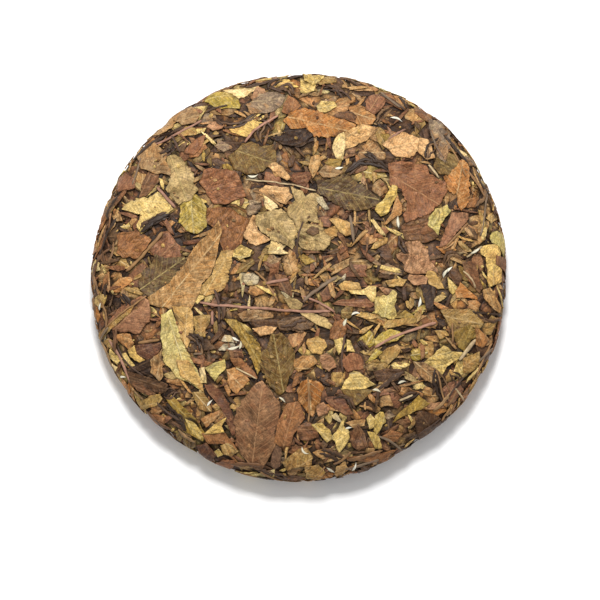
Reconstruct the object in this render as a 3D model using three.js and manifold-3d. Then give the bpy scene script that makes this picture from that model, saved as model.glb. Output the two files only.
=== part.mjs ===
// A pressed cake of white tea: whole leaves, torn flakes, straps and stalks that
// were steamed, pressed into a domed round slab and dried hard.
// Millimetres, +Z up. The domed face is the top, the flat underside rests at
// z = 0, and the origin is the middle of the underside.

import * as THREE from 'three';
import { mergeVertices } from 'three/addons/utils/BufferGeometryUtils.js';
import Module from 'manifold-3d';

const wasm = await Module();
wasm.setup();

// The slab of packed tea under the leaves.
const SLAB_RADIUS = 98.9;
const SLAB_TOP = 27.4;
const RIM_HEIGHT = 11;
const UNDERSIDE_HEIGHT = 1.3;
const FLAT_RADIUS = 86;
const DIMPLE_RADIUS = 28;
const DIMPLE_DEPTH = 6;
// Steps of the half section over the dome, round the lower edge and underneath.
const DOME_STEPS = 240;
const EDGE_STEPS = 30;
const UNDER_STEPS = 120;

// Rings of the slab's skin: share of the way from the middle of the dome, over
// the rim, to the middle of the underside, and the points in the ring.
const SLAB_RINGS = [
  [0, 1], [0.11, 10], [0.23, 20], [0.34, 40], [0.41, 40], [0.455, 40], [0.49, 40],
  [0.52, 40], [0.55, 40], [0.58, 40], [0.72, 20], [0.87, 20], [0.94, 10], [1, 1],
];
const TEA_BROWN = '#8a6a45';

// Where the round outline swells or draws in: middle and spread in degrees, mm.
const OUTLINE_SWELLS = [
  { at: 48, spread: 30, by: 2.7 },
  { at: 190, spread: 25, by: 0.8 },
  { at: 236, spread: 14, by: -1.1 },
  { at: 303, spread: 9, by: -1.6 },
];

// The leaves that show most on the domed face, largest first, as seen from above:
// [x, y, length, width, turn in degrees, narrowing towards the tip].
const SHOWN_LEAVES = [
  [-52, 7, 54, 17, 48, 0.1],
  [-57, -34, 38, 9, 110, 0.25],
  [-20, -73, 40, 21, 265, 0.45],
  [10, 77, 38, 13, -10, 0.3],
  [23, 41, 30, 14, -12, 0.1],
  [57, 42, 29, 24, -15, 0.2],
  [-11, -39, 28, 18, 105, 0.2],
  [-80, -20, 27, 15, 220, 0.4],
  [-26, -33, 28, 7, 122, 0.1],
  [-70, -50, 28, 10, -20, 0.2],
  [79, 45, 27, 8, -70, 0.2],
  [-35, -88, 26, 10, -18, 0.1],
  [88, 29, 24, 8, -80, 0.1],
  [63, -51, 25, 15, -52, 0.3],
  [-64, 0, 25, 14, 30, 0.35],
  [-37, -60, 25, 7, -52, 0.2],
  [-10, 25, 23, 16, 30, 0.3],
  [-17, 83, 23, 12, 10, 0.2],
  [-57, 46, 23, 13, 62, 0.1],
  [-71, 33, 22, 8, -5, 0.2],
  [-29, 93, 22, 6, 12, 0.1],
  [-53, -70, 23, 7, -62, 0.1],
  [-23, 58, 20, 13, 15, 0.1],
  [-35, 27, 21, 15, 20, 0.1],
  [-37, 44, 20, 16, -30, 0.1],
  [50, 62, 21, 15, -25, 0.3],
  [56, 3, 21, 15, -20, 0.2],
  [64, 69, 21, 8, -75, 0.4],
  [51, -65, 21, 6, 38, 0.3],
  [4, -57, 20, 13, -86, 0.3],
  [8, -20, 21, 6, -28, 0.1],
  [17, -86, 24, 5, -22, 0.1],
  [76, -21, 19, 14, 10, 0.1],
  [68, -40, 19, 13, 40, 0.2],
  [-5, -70, 19, 11, 85, 0.1],
  [1, 35, 19, 12, 72, 0.3],
  [27, -12, 18, 6, -5, 0.1],
  [-37, 87, 18, 9, -5, 0.2],
  [57, 24, 17, 11, -20, 0.1],
  [-40, 1, 17, 13, 80, 0.1],
  [36, -31, 17, 12, 25, 0.2],
  [8, 18, 16, 12, -35, 0.2],
  [41, -14, 15, 11, 70, -0.2],
  [27, -51, 16, 9, 0, 0.1],
  [66, -22, 16, 5, -60, 0.1],
  [-72, 60, 18, 11, 45, 0.1],
  [28, 66, 17, 11, 30, 0.2],
  [-31, 0, 14, 8, 80, 0.1],
  [2, -23, 15, 7, -5, 0.1],
  [-28, -50, 13, 12, 45, 0.1],
  [-64, 14, 13, 12, 60, 0.1],
  [-71, -35, 13, 8, 20, 0.1],
  [27, -59, 13, 8, 0, 0.3],
  [-70, -61, 13, 10, 10, 0.1],
  [42, -37, 12, 8, -20, 0.1],
  [61, -9, 11, 8, -60, 0.1],
  [81, 22, 12, 11, 30, 0.1],
  [2, -86, 12, 8, 15, 0.1],
  [93, 1, 10, 8, 90, 0],
  [9, -31, 9, 8, 0, 0],
];

// Stalks that lie in the surface: [x and y of one end, x and y of the other,
// sideways bow at mid length, diameter].
const SHOWN_STALKS = [
  [-47, -12, 16, -17, 2, 2.1],
  [36, -34, 65, -22, -1, 2.2],
  [-66, 23, -83, 2, 1, 2.6],
  [-65, -61, -54, -76, 3, 2.2],
  [1, -13, 18.5, 0.5, 0, 2.4],
  [51, -46, 36, -62, -3, 2.2],
  [4, -47, 4.5, -73, 0, 1.8],
  [-26, 48, 8, 42, -1, 1.6],
  [-26, 66, -10, 79, 1, 1.9],
  [-40, -6, -37, -23, 1, 2.2],
  [22, -28, 21, -47, 1, 1.8],
  [-21, 3, -10, -12, 0, 1.8],
  [76, -41, 85, -30, -1, 2.4],
  [-68, 44, -59, 35, 0, 2.1],
  [-20, -93, -3, -97, 1, 2.1],
];

// Smaller flakes fill the rest by an even spiral, turned and sized at random.
const SEED = 350;
const GOLDEN_SHARE = (3 - Math.sqrt(5)) / 2;
const DOME_FLAKES = { spots: 120, past: 12, lift: [0.6, 1.4] };
const UNDER_FLAKES = { spots: 32, past: -6, lift: [1, 1.8] };
const FLAKE_LENGTH = [10, 20];
const FLAKE_WIDTH_SHARE = [0.35, 0.7];
const FLAKE_SIDES = 5;
const CLEAR_OF_LEAVES = 1.3;

// Shown leaves lie at several levels, are wavy, and have an inner ring of
// points where they are long. Every leaf reaches well down into the slab.
const LEAF_LIFT = [1.1, 1.8];
const LEAF_WAVE = 0.3;
const LEAF_SIDES = 8;
const LONG_LEAF = 26;
const INNER_RING = 0.55;
const RAGGED = [0.84, 1.12];
const LEAF_DEPTH = 2.8;
const STALK_SHOWING = 0.35;
const STALK_SIDES = 4;
const STALK_STEPS = 3;

// One leaf under the cake is kept level, and the cake is measured to rest on it.
const RESTING_LEAF = [0, 62, 30, 20, 0, 0];
const RESTING_LIFT = 1.9;
const PLATE_THICKNESS = 20;

// A repeatable source of random numbers from 0 to 1.
function seededRandom(seed) {
  let state = seed;
  return function next() {
    state = (state * 1664525 + 1013904223) % 4294967296;
    return state / 4294967296;
  };
}
const random = seededRandom(SEED);
const between = ([low, high]) => low + (high - low) * random();

// Half section of the slab from the middle of the dome, over the rim, to the
// middle of the underside: [radius, height] at closely spaced points.
function slabProfile() {
  const points = [];
  for (let i = 0; i <= DOME_STEPS; i += 1) {
    const fall = (i / DOME_STEPS) * (Math.PI / 2);
    const height = RIM_HEIGHT + (SLAB_TOP - RIM_HEIGHT) * Math.cos(fall);
    points.push([SLAB_RADIUS * Math.sqrt(Math.sin(fall)), height]);
  }
  for (let i = 1; i <= EDGE_STEPS; i += 1) {
    const turn = (i / EDGE_STEPS) * (Math.PI / 2);
    const radius = FLAT_RADIUS + (SLAB_RADIUS - FLAT_RADIUS) * Math.cos(turn);
    points.push([radius, RIM_HEIGHT - (RIM_HEIGHT - UNDERSIDE_HEIGHT) * Math.sin(turn)]);
  }
  for (let i = 1; i <= UNDER_STEPS; i += 1) {
    const radius = FLAT_RADIUS * (1 - i / UNDER_STEPS);
    const within = Math.min(radius / DIMPLE_RADIUS, 1) * (Math.PI / 2);
    points.push([radius, UNDERSIDE_HEIGHT + DIMPLE_DEPTH * Math.cos(within) ** 2]);
  }
  return points;
}

const PROFILE = slabProfile();
const DISTANCES = [0];
for (let i = 1; i < PROFILE.length; i += 1) {
  const [radius, height] = PROFILE[i];
  const [lastRadius, lastHeight] = PROFILE[i - 1];
  DISTANCES.push(DISTANCES[i - 1] + Math.hypot(radius - lastRadius, height - lastHeight));
}
const PROFILE_LENGTH = DISTANCES[DISTANCES.length - 1];
const RIM_DISTANCE = DISTANCES[DOME_STEPS];

// The profile's radius, height and outward direction at a distance along it.
function profileAt(distance) {
  const along = THREE.MathUtils.clamp(distance, 0, PROFILE_LENGTH);
  let i = 1;
  while (i < DISTANCES.length - 1 && DISTANCES[i] < along) i += 1;
  const span = DISTANCES[i] - DISTANCES[i - 1];
  const share = (along - DISTANCES[i - 1]) / span;
  const [radius, height] = PROFILE[i];
  const [lastRadius, lastHeight] = PROFILE[i - 1];
  return {
    radius: lastRadius + (radius - lastRadius) * share,
    height: lastHeight + (height - lastHeight) * share,
    outward: new THREE.Vector2(-(height - lastHeight), radius - lastRadius).normalize(),
  };
}

// How far the outline stands out from a circle in one direction.
function outlineSwell(direction) {
  return OUTLINE_SWELLS.reduce((sum, { at, spread, by }) => {
    const away = THREE.MathUtils.radToDeg(direction) - at;
    const apart = THREE.MathUtils.euclideanModulo(away + 180, 360) - 180;
    return sum + by * Math.exp(-((apart / spread) ** 2));
  }, 0);
}

// A place on the slab's skin, reached by walking a distance from the middle of
// the dome in one direction, and then lifted off the skin.
function skinPoint(distance, direction, lift) {
  const { radius, height, outward } = profileAt(distance);
  const swollen = radius + outlineSwell(direction) * (radius / SLAB_RADIUS) ** 2;
  const reach = swollen + lift * outward.x;
  return new THREE.Vector3(
    reach * Math.cos(direction),
    reach * Math.sin(direction),
    height + lift * outward.y,
  );
}

// Where a place seen from above lies on the dome when its skin is laid out flat.
function spreadOnDome(x, y) {
  const planRadius = Math.hypot(x, y);
  let i = 0;
  while (i < DOME_STEPS && PROFILE[i + 1][0] < planRadius) i += 1;
  const stretch = (DISTANCES[i] + planRadius - PROFILE[i][0]) / planRadius;
  return [x * stretch, y * stretch];
}

// A skin laid out flat, round the middle of the dome or of the underside.
function skinAt(side, across, up, lift) {
  const walk = Math.hypot(across, up);
  const distance = side === 'dome' ? walk : PROFILE_LENGTH - walk;
  return skinPoint(distance, Math.atan2(up, across), lift);
}

// Turns a closed three.js geometry into a solid that can be joined and cut.
function toSolid(geometry) {
  const bare = geometry.clone();
  bare.deleteAttribute('normal');
  bare.deleteAttribute('uv');
  const welded = mergeVertices(bare, 1e-4);
  return new wasm.Manifold(new wasm.Mesh({
    numProp: 3,
    vertProperties: new Float32Array(welded.attributes.position.array),
    triVerts: new Uint32Array(welded.index.array),
  }));
}

function toGeometry(solid) {
  const mesh = solid.getMesh();
  const geometry = new THREE.BufferGeometry();
  geometry.setAttribute('position', new THREE.BufferAttribute(mesh.vertProperties, 3));
  geometry.setIndex(new THREE.BufferAttribute(mesh.triVerts, 1));
  return geometry;
}

// The slab: rings of points round the profile, stitched into one closed skin.
// A ring has as many points as its neighbour, or twice or half as many.
function makeSlab() {
  const rings = SLAB_RINGS.map(([share, count]) => {
    const distance = share * PROFILE_LENGTH;
    return Array.from({ length: count }, (_, k) => skinPoint(distance, (k / count) * 2 * Math.PI, 0));
  });
  const corners = [];
  for (let i = 1; i < rings.length; i += 1) {
    const [inner, outer] = [rings[i - 1], rings[i]];
    const steps = Math.max(inner.length, outer.length);
    for (let k = 0; k < steps; k += 1) {
      const [innerHere, innerNext, outerHere, outerNext] = [inner, outer].flatMap((ring) => (
        [k, k + 1].map((j) => ring[Math.floor((j * ring.length) / steps) % ring.length])
      ));
      if (outerHere !== outerNext) corners.push(innerHere, outerHere, outerNext);
      if (innerHere !== innerNext) corners.push(innerHere, outerNext, innerNext);
    }
  }
  return new THREE.BufferGeometry().setFromPoints(corners);
}

// The points of a leaf laid out flat, as distances along and across it: one ring
// for a small flake, and a middle point and perhaps an inner ring for a leaf.
function leafPoints([, , length, width, , narrowing], sides, rings) {
  const ragged = Array.from({ length: sides }, () => between(RAGGED));
  return rings.flatMap((ring) => ragged.map((torn, k) => {
    const angle = ((k + 0.5) / sides) * 2 * Math.PI;
    const reach = (ring / 2) * (ring === 1 ? torn : 1);
    const narrowed = 1 - narrowing * Math.cos(angle);
    return [length * reach * Math.cos(angle), width * reach * narrowed * Math.sin(angle)];
  }));
}

// The triangles of a leaf: a fan inside its first ring, then strips between rings.
function leafFaces(sides, ringCount, hasMiddle) {
  const faces = [];
  const first = hasMiddle ? 1 : 0;
  for (let k = 0; k < sides; k += 1) {
    const next = (k + 1) % sides;
    if (hasMiddle) faces.push([0, 1 + k, 1 + next]);
    else if (k > 0 && next > 0) faces.push([0, k, next]);
    for (let ring = 1; ring < ringCount; ring += 1) {
      const inner = first + (ring - 1) * sides;
      const outer = inner + sides;
      faces.push([inner + k, outer + k, outer + next]);
      faces.push([inner + k, outer + next, inner + next]);
    }
  }
  return faces;
}

// One leaf or flake: a thin wavy plate with a ragged outline that follows the
// slab, its lower face sunk in it. Both faces have the same triangles.
function makeLeaf(side, leaf, { lift, sides, wave, hasMiddle }) {
  const [x, y, length, width, turn] = leaf;
  const heading = THREE.MathUtils.degToRad(turn);
  const phase = between([0, 2 * Math.PI]);
  const rings = length > LONG_LEAF ? [INNER_RING, 1] : [1];
  const spots = leafPoints(leaf, sides, rings);
  if (hasMiddle) spots.unshift([0, 0]);
  const positions = [0, LEAF_DEPTH].flatMap((depth) => spots.flatMap(([along, sideways]) => {
    const across = x + along * Math.cos(heading) - sideways * Math.sin(heading);
    const up = y + along * Math.sin(heading) + sideways * Math.cos(heading);
    const ripple = wave * Math.sin((along / length) * 5 + (sideways / width) * 3 + phase);
    return skinAt(side, across, up, lift + ripple - depth).toArray();
  }));
  const count = spots.length;
  const index = leafFaces(sides, rings.length, hasMiddle).flatMap(([a, b, c]) => [
    a, b, c, count + a, count + c, count + b,
  ]);
  for (let k = 0; k < sides; k += 1) {
    const here = count - sides + k;
    const next = count - sides + ((k + 1) % sides);
    index.push(here, count + here, count + next, here, count + next, next);
  }
  if (side !== 'dome') index.reverse();
  const geometry = new THREE.BufferGeometry();
  geometry.setAttribute('position', new THREE.Float32BufferAttribute(positions, 3));
  geometry.setIndex(index);
  return geometry;
}

// A stalk: a round bar half sunk in the slab along a slightly bowed line.
function makeStalk([fromX, fromY, toX, toY, bow, diameter]) {
  const run = Math.hypot(toX - fromX, toY - fromY);
  const places = [0, 0.25, 0.5, 0.75, 1].map((share) => {
    const sideways = bow * Math.sin(share * Math.PI);
    const x = fromX + (toX - fromX) * share - ((toY - fromY) / run) * sideways;
    const y = fromY + (toY - fromY) * share + ((toX - fromX) / run) * sideways;
    return skinAt('dome', ...spreadOnDome(x, y), diameter * STALK_SHOWING);
  });
  const section = new THREE.Shape();
  for (let k = 0; k < STALK_SIDES; k += 1) {
    const angle = (k / STALK_SIDES) * 2 * Math.PI;
    const corner = [(diameter / 2) * Math.cos(angle), (diameter / 2) * Math.sin(angle)];
    if (k === 0) section.moveTo(...corner);
    else section.lineTo(...corner);
  }
  section.closePath();
  return new THREE.ExtrudeGeometry(section, {
    steps: STALK_STEPS,
    bevelEnabled: false,
    extrudePath: new THREE.CatmullRomCurve3(places),
  });
}

// Leaves as seen from above, at levels that change from one to the next.
function makeShownLeaves() {
  const [lowest, highest] = LEAF_LIFT;
  return SHOWN_LEAVES.map(([x, y, ...size], i) => {
    const level = (i * GOLDEN_SHARE) % 1;
    const lift = lowest + (highest - lowest) * level;
    const style = { lift, sides: LEAF_SIDES, wave: LEAF_WAVE, hasMiddle: true };
    return makeLeaf('dome', [...spreadOnDome(x, y), ...size], style);
  });
}

// Whether a spot on the dome is covered by a shown leaf or lies close to it.
function underShownLeaf(walk, direction) {
  const { radius } = profileAt(walk);
  return SHOWN_LEAVES.some(([x, y, length, width, turn]) => {
    const heading = THREE.MathUtils.degToRad(turn);
    const across = radius * Math.cos(direction) - x;
    const up = radius * Math.sin(direction) - y;
    const along = across * Math.cos(heading) + up * Math.sin(heading);
    const sideways = up * Math.cos(heading) - across * Math.sin(heading);
    return Math.hypot((2 * along) / length, (2 * sideways) / width) < CLEAR_OF_LEAVES;
  });
}

// Flakes on an even spiral, out to a little past or short of the rim.
function makeFlakes(side, sideLength, { spots, past, lift }) {
  const flakes = [];
  for (let i = 0; i < spots; i += 1) {
    const walk = (sideLength + past) * Math.sqrt((i + 0.5) / spots);
    const direction = i * GOLDEN_SHARE * 2 * Math.PI;
    const length = between(FLAKE_LENGTH);
    const width = length * between(FLAKE_WIDTH_SHARE);
    const place = [walk * Math.cos(direction), walk * Math.sin(direction)];
    const flake = [...place, length, width, between([0, 360]), between([0, 0.3])];
    const style = { lift: between(lift), sides: FLAKE_SIDES, wave: 0, hasMiddle: false };
    if (side !== 'dome' || !underShownLeaf(walk, direction)) {
      flakes.push(makeLeaf(side, flake, style));
    }
  }
  return flakes;
}

const restingStyle = { lift: RESTING_LIFT, sides: LEAF_SIDES, wave: 0, hasMiddle: true };
const pieces = [
  makeSlab(),
  ...makeShownLeaves(),
  ...SHOWN_STALKS.map(makeStalk),
  ...makeFlakes('dome', RIM_DISTANCE, DOME_FLAKES),
  ...makeFlakes('underside', PROFILE_LENGTH - RIM_DISTANCE, UNDER_FLAKES),
  makeLeaf('underside', RESTING_LEAF, restingStyle),
].map(toSolid);

// The press plate under the cake levels whatever would reach below z = 0.
const plateSide = 3 * SLAB_RADIUS;
const plate = new THREE.BoxGeometry(plateSide, plateSide, PLATE_THICKNESS);
plate.translate(0, 0, -PLATE_THICKNESS / 2);
const pressed = wasm.Manifold.union(pieces).subtract(toSolid(plate));

// The cake is what holds together: loose scraps and sealed pockets drop out.
const parts = pressed.decompose();
const whole = parts.reduce((most, next) => (next.volume() > most.volume() ? next : most));

const cakeGeometry = toGeometry(whole);
cakeGeometry.computeBoundingBox();
const middle = cakeGeometry.boundingBox.getCenter(new THREE.Vector3());
cakeGeometry.translate(-middle.x, -middle.y, 0);

const cake = new THREE.Mesh(
  cakeGeometry,
  new THREE.MeshStandardMaterial({ color: TEA_BROWN, roughness: 0.85, metalness: 0 }),
);
cake.name = 'tea_cake';

const teaCake = new THREE.Group();
teaCake.add(cake);

export default teaCake;
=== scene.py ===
import itertools

import bpy
import numpy as np
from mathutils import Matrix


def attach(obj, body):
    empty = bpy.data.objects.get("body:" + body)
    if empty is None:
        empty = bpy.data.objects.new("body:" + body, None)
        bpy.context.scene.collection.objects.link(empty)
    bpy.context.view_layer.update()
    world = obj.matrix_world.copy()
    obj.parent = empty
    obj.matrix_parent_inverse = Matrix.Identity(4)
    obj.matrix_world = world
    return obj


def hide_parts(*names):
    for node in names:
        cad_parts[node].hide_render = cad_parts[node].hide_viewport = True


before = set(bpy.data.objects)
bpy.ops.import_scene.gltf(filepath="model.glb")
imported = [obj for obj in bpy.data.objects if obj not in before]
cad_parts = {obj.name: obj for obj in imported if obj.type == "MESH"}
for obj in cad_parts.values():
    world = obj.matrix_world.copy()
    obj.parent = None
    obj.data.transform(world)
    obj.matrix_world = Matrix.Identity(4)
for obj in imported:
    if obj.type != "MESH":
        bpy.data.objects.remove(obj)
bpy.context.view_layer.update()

# ---------------------------------------------------------------------------------------------
# Camera
# The cake lies with its shown face up and is seen from nearly straight above, a little from the
# front, through a long lens, so that its round outline keeps its shape.
MM = 0.001
PICTURE_PIXELS = 600
PIXEL_MM = 0.4794  # at the cake: 200.6 mm shows as 418.5 pixels
CAKE_MIDDLE_PIXEL = (299.0, 275.5)
CAMERA_ELEVATION = np.radians(79.0)
CAMERA_DISTANCE_MM = 1600.0
SENSOR_MM = 36.0
LOOK_HEIGHT_MM = 12.0

picture_middle = PICTURE_PIXELS / 2
look_x = (picture_middle - CAKE_MIDDLE_PIXEL[0]) * PIXEL_MM
look_y = -(picture_middle - CAKE_MIDDLE_PIXEL[1]) * PIXEL_MM / np.sin(CAMERA_ELEVATION)
lens = bpy.data.cameras.new("catalogue_camera")
lens.sensor_width = SENSOR_MM
lens.lens = SENSOR_MM * CAMERA_DISTANCE_MM / (PICTURE_PIXELS * PIXEL_MM)
camera = bpy.data.objects.new("catalogue_camera", lens)
camera.location = (
    look_x * MM,
    (look_y - CAMERA_DISTANCE_MM * np.cos(CAMERA_ELEVATION)) * MM,
    (LOOK_HEIGHT_MM + CAMERA_DISTANCE_MM * np.sin(CAMERA_ELEVATION)) * MM,
)
camera.rotation_euler = (np.pi / 2 - CAMERA_ELEVATION, 0, 0)
bpy.context.scene.collection.objects.link(camera)
bpy.context.scene.camera = camera

# ---------------------------------------------------------------------------------------------
# Table and light
# A white matt table top under one wide soft light from above and behind, with a pale room all
# round. What every later section uses for colours, nodes and materials starts here.
TABLE_WHITE = "FCFCFC"
TABLE_HALF_MM = 3000.0
KEY_WATTS = 11.3
KEY_PLACE_MM = (-30.0, 480.0, 900.0)
KEY_SIDE_MM = 280.0
ROOM_STRENGTH = 0.56


def linear(colour):
    """An sRGB hex colour as linear light: below 0.04045 divided by 12.92, else a power of 2.4."""
    value = np.array([int(colour[i : i + 2], 16) for i in (0, 2, 4)]) / 255
    return np.where(value <= 0.04045, value / 12.92, ((value + 0.055) / 1.055) ** 2.4)


def node(tree, kind, inputs=None, **settings):
    """Adds one shader node with its settings, and fills its inputs with plain values or links."""
    made = tree.nodes.new("ShaderNode" + kind)
    for name, value in settings.items():
        setattr(made, name, value)
    for name, value in (inputs or {}).items():
        if isinstance(value, bpy.types.NodeSocket):
            tree.links.new(value, made.inputs[name])
        else:
            made.inputs[name].default_value = value
    return made


def fresh_material(name):
    """An empty material: its node tree and its output node."""
    material = bpy.data.materials.new(name)
    material.use_nodes = True
    material.node_tree.nodes.clear()
    return material, node(material.node_tree, "OutputMaterial")


# Sprayed white laminate: no gloss and almost no grain, so that it stays in the background.
laminate, laminate_out = fresh_material("white_matt_laminate")
laminate_grain = node(
    laminate.node_tree, "TexNoise", {"Scale": 1 / (3 * MM), "Detail": 2.0}
)
laminate_shell = node(
    laminate.node_tree,
    "BsdfPrincipled",
    {
        "Base Color": (*linear(TABLE_WHITE), 1),
        "Roughness": node(
            laminate.node_tree,
            "MapRange",
            {"Value": laminate_grain.outputs["Fac"], "To Min": 0.75, "To Max": 0.85},
        ).outputs["Result"],
        "Specular IOR Level": 0.2,
    },
)
laminate.node_tree.links.new(laminate_shell.outputs["BSDF"], laminate_out.inputs["Surface"])

half = TABLE_HALF_MM * MM
table_mesh = bpy.data.meshes.new("table")
table_mesh.from_pydata(
    [(-half, -half, 0), (half, -half, 0), (half, half, 0), (-half, half, 0)], [], [(0, 1, 2, 3)]
)
table_mesh.materials.append(laminate)
table = bpy.data.objects.new("table", table_mesh)
bpy.context.scene.collection.objects.link(table)

room = bpy.data.worlds.new("pale_room")
room.use_nodes = True
room.node_tree.nodes["Background"].inputs["Color"].default_value = (1.0, 1.0, 1.0, 1)
room.node_tree.nodes["Background"].inputs["Strength"].default_value = ROOM_STRENGTH
bpy.context.scene.world = room
bpy.context.scene.view_settings.view_transform = "Standard"

key = bpy.data.lights.new("soft_key", "AREA")
key.energy = KEY_WATTS
key.size = KEY_SIDE_MM * MM
key_light = bpy.data.objects.new("soft_key", key)
key_light.location = [along * MM for along in KEY_PLACE_MM]
key_aim = np.array([0.0, 0.0, LOOK_HEIGHT_MM]) - np.array(KEY_PLACE_MM)
key_across = np.hypot(key_aim[0], key_aim[1])
key_light.rotation_euler = (
    np.arctan2(key_across, -key_aim[2]), 0, np.arctan2(-key_aim[0], key_aim[1]),
)
bpy.context.scene.collection.objects.link(key_light)

# ---------------------------------------------------------------------------------------------
# Packed crumb
# The inside of the cake: broken leaf and dust that the press has packed into a domed round slab
# with a hollow in its underside. It shows only as dark crumb in the gaps between the leaves. How
# the heap's heights are kept, smoothed and read, and how a piece is made, starts here too.
RIM_RADIUS = 99.1
CROWN_HEIGHT = 28.0
RIM_HEIGHT = 11.0
UNDERSIDE_HEIGHT = 0.9
FLAT_RADIUS = 86.2
HOLLOW_RADIUS = 28.0
HOLLOW_DEPTH = 6.0
# Where the round outline swells or draws in: middle and spread in degrees, mm.
OUTLINE_SWELLS = [(48, 30, 2.7), (190, 25, 0.8), (236, 14, -1.1), (303, 9, -1.6)]
PICTURE_SHIFT = 1.0  # mm, from the middle of the cake's outline up to where y is measured from
CELL = 0.4  # mm, of the height maps
MAP_HALF = 350  # cells
CROWN_SIDE, UNDER_SIDE = 0, 1
CRUMB_RINGS, CRUMB_SPOKES = 150, 300
CRUMB_LUMP, CRUMB_GRAIN, CREASE_GRAIN = 1.3, 0.5, 1.7  # mm
LUMP_HEIGHT, GRAIN_HEIGHT = 0.35, 0.15  # mm


def skin_outline():
    """The cake's half outline from the crown over the rim to the middle underneath: distance
    along it, radius, height and outward direction. On the dome the radius goes with the root of
    the sine of a turn and the height with its cosine; a quarter ellipse leads underneath."""
    turn = np.linspace(0, 1, 400) ** 2 * np.pi / 2
    edge = np.linspace(0, np.pi / 2, 120)[1:]
    inward = np.linspace(FLAT_RADIUS, 0, 300)[1:]
    hollow = np.cos(np.minimum(inward / HOLLOW_RADIUS, 1) * np.pi / 2) ** 2
    radius = np.concatenate([
        RIM_RADIUS * np.sqrt(np.sin(turn)),
        FLAT_RADIUS + (RIM_RADIUS - FLAT_RADIUS) * np.cos(edge),
        inward,
    ])
    height = np.concatenate([
        RIM_HEIGHT + (CROWN_HEIGHT - RIM_HEIGHT) * np.cos(turn),
        RIM_HEIGHT - (RIM_HEIGHT - UNDERSIDE_HEIGHT) * np.sin(edge),
        UNDERSIDE_HEIGHT + HOLLOW_DEPTH * hollow,
    ])
    along = np.concatenate([[0], np.cumsum(np.hypot(np.diff(radius), np.diff(height)))])
    out, up = -np.gradient(height, along), np.gradient(radius, along)
    size = np.hypot(out, up)
    return along, radius, height, out / size, up / size


ALONG, RADIUS, HEIGHT, OUT, UP = skin_outline()
RIM_REACH = ALONG[399]
WHOLE_REACH = ALONG[-1]


def on_skin(side, x, y, lift):
    """The point over the skin that lies (x, y) from the middle of its side, laid out flat with
    true distances from that middle, and lifted along the outward direction. Millimetres."""
    reach = np.hypot(x, y)
    reach = np.where(side == UNDER_SIDE, WHOLE_REACH - reach, reach)
    direction = np.arctan2(y, x)
    radius = np.interp(reach, ALONG, RADIUS)
    swell = 0
    for at, spread, by in OUTLINE_SWELLS:
        apart = (np.degrees(direction) - at + 180) % 360 - 180
        swell = swell + by * np.exp(-((apart / spread) ** 2))
    radius = radius + swell * (radius / RIM_RADIUS) ** 2 + np.interp(reach, ALONG, OUT) * lift
    height = np.interp(reach, ALONG, HEIGHT) + np.interp(reach, ALONG, UP) * lift
    return np.stack([radius * np.cos(direction), radius * np.sin(direction), height], -1)


def from_above(x, y):
    """Where a point measured in the picture lies once the dome is laid out flat. The camera looks
    down at a slant, so what lies higher shows further up, by its height over the slant's tangent."""
    height = np.interp(np.hypot(x, y), RADIUS[:400], HEIGHT[:400])
    y = y - PICTURE_SHIFT - (height - LOOK_HEIGHT_MM) / np.tan(CAMERA_ELEVATION)
    seen = np.hypot(x, y)
    grown = np.interp(min(seen, RIM_RADIUS), RADIUS[:400], ALONG[:400]) / max(seen, 1e-6)
    return x * grown, y * grown


def rough_field(grain, seed):
    """Random heights of about that grain in mm: white noise smoothed by a bell, with spread 1."""
    span = 2 * MAP_HALF + 1
    field = smoothed(np.random.default_rng(seed).normal(size=(span, span)), grain)
    return field / field.std()


def smoothed(field, reach):
    """A field smoothed by a bell of that reach in mm, through its frequencies."""
    down = np.fft.fftfreq(field.shape[0], CELL)[:, None]
    across = np.fft.rfftfreq(field.shape[1], CELL)[None, :]
    bell = np.exp(-2 * (np.pi * reach) ** 2 * (down**2 + across**2))
    return np.fft.irfft2(np.fft.rfft2(field) * bell, field.shape)


def widened(field, cells):
    """Each cell takes the highest value within that many cells along either axis."""
    for axis in (0, 1):
        best = field
        for step in range(1, cells + 1):
            best = np.maximum(best, np.maximum(np.roll(field, step, axis), np.roll(field, -step, axis)))
        field = best
    return field


def softened(field, times):
    """Each cell takes a quarter of each neighbour and half of itself along both axes, repeated."""
    for _ in range(times):
        for axis in (0, 1):
            field = field / 2 + (np.roll(field, 1, axis) + np.roll(field, -1, axis)) / 4
    return field


def read(field, x, y, corner=-MAP_HALF):
    """The field's value between its four nearest cells. corner is the place of its first cell."""
    low_x, low_y = (corner, corner) if np.isscalar(corner) else corner
    across = np.clip(x / CELL - low_x, 0, field.shape[1] - 1.001)
    down = np.clip(y / CELL - low_y, 0, field.shape[0] - 1.001)
    i, j = across.astype(int), down.astype(int)
    a, b = across - i, down - j
    top = field[j, i] * (1 - a) + field[j, i + 1] * a
    return top * (1 - b) + (field[j + 1, i] * (1 - a) + field[j + 1, i + 1] * a) * b


def read_own(maps, side, x, y):
    """Each point's value in the map of its own side."""
    return np.where(side == UNDER_SIDE, read(maps[UNDER_SIDE], x, y), read(maps[CROWN_SIDE], x, y))


def polar(reach, angle):
    """x and y of what lies so far from the middle in that direction."""
    return reach * np.cos(angle), reach * np.sin(angle)


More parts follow.
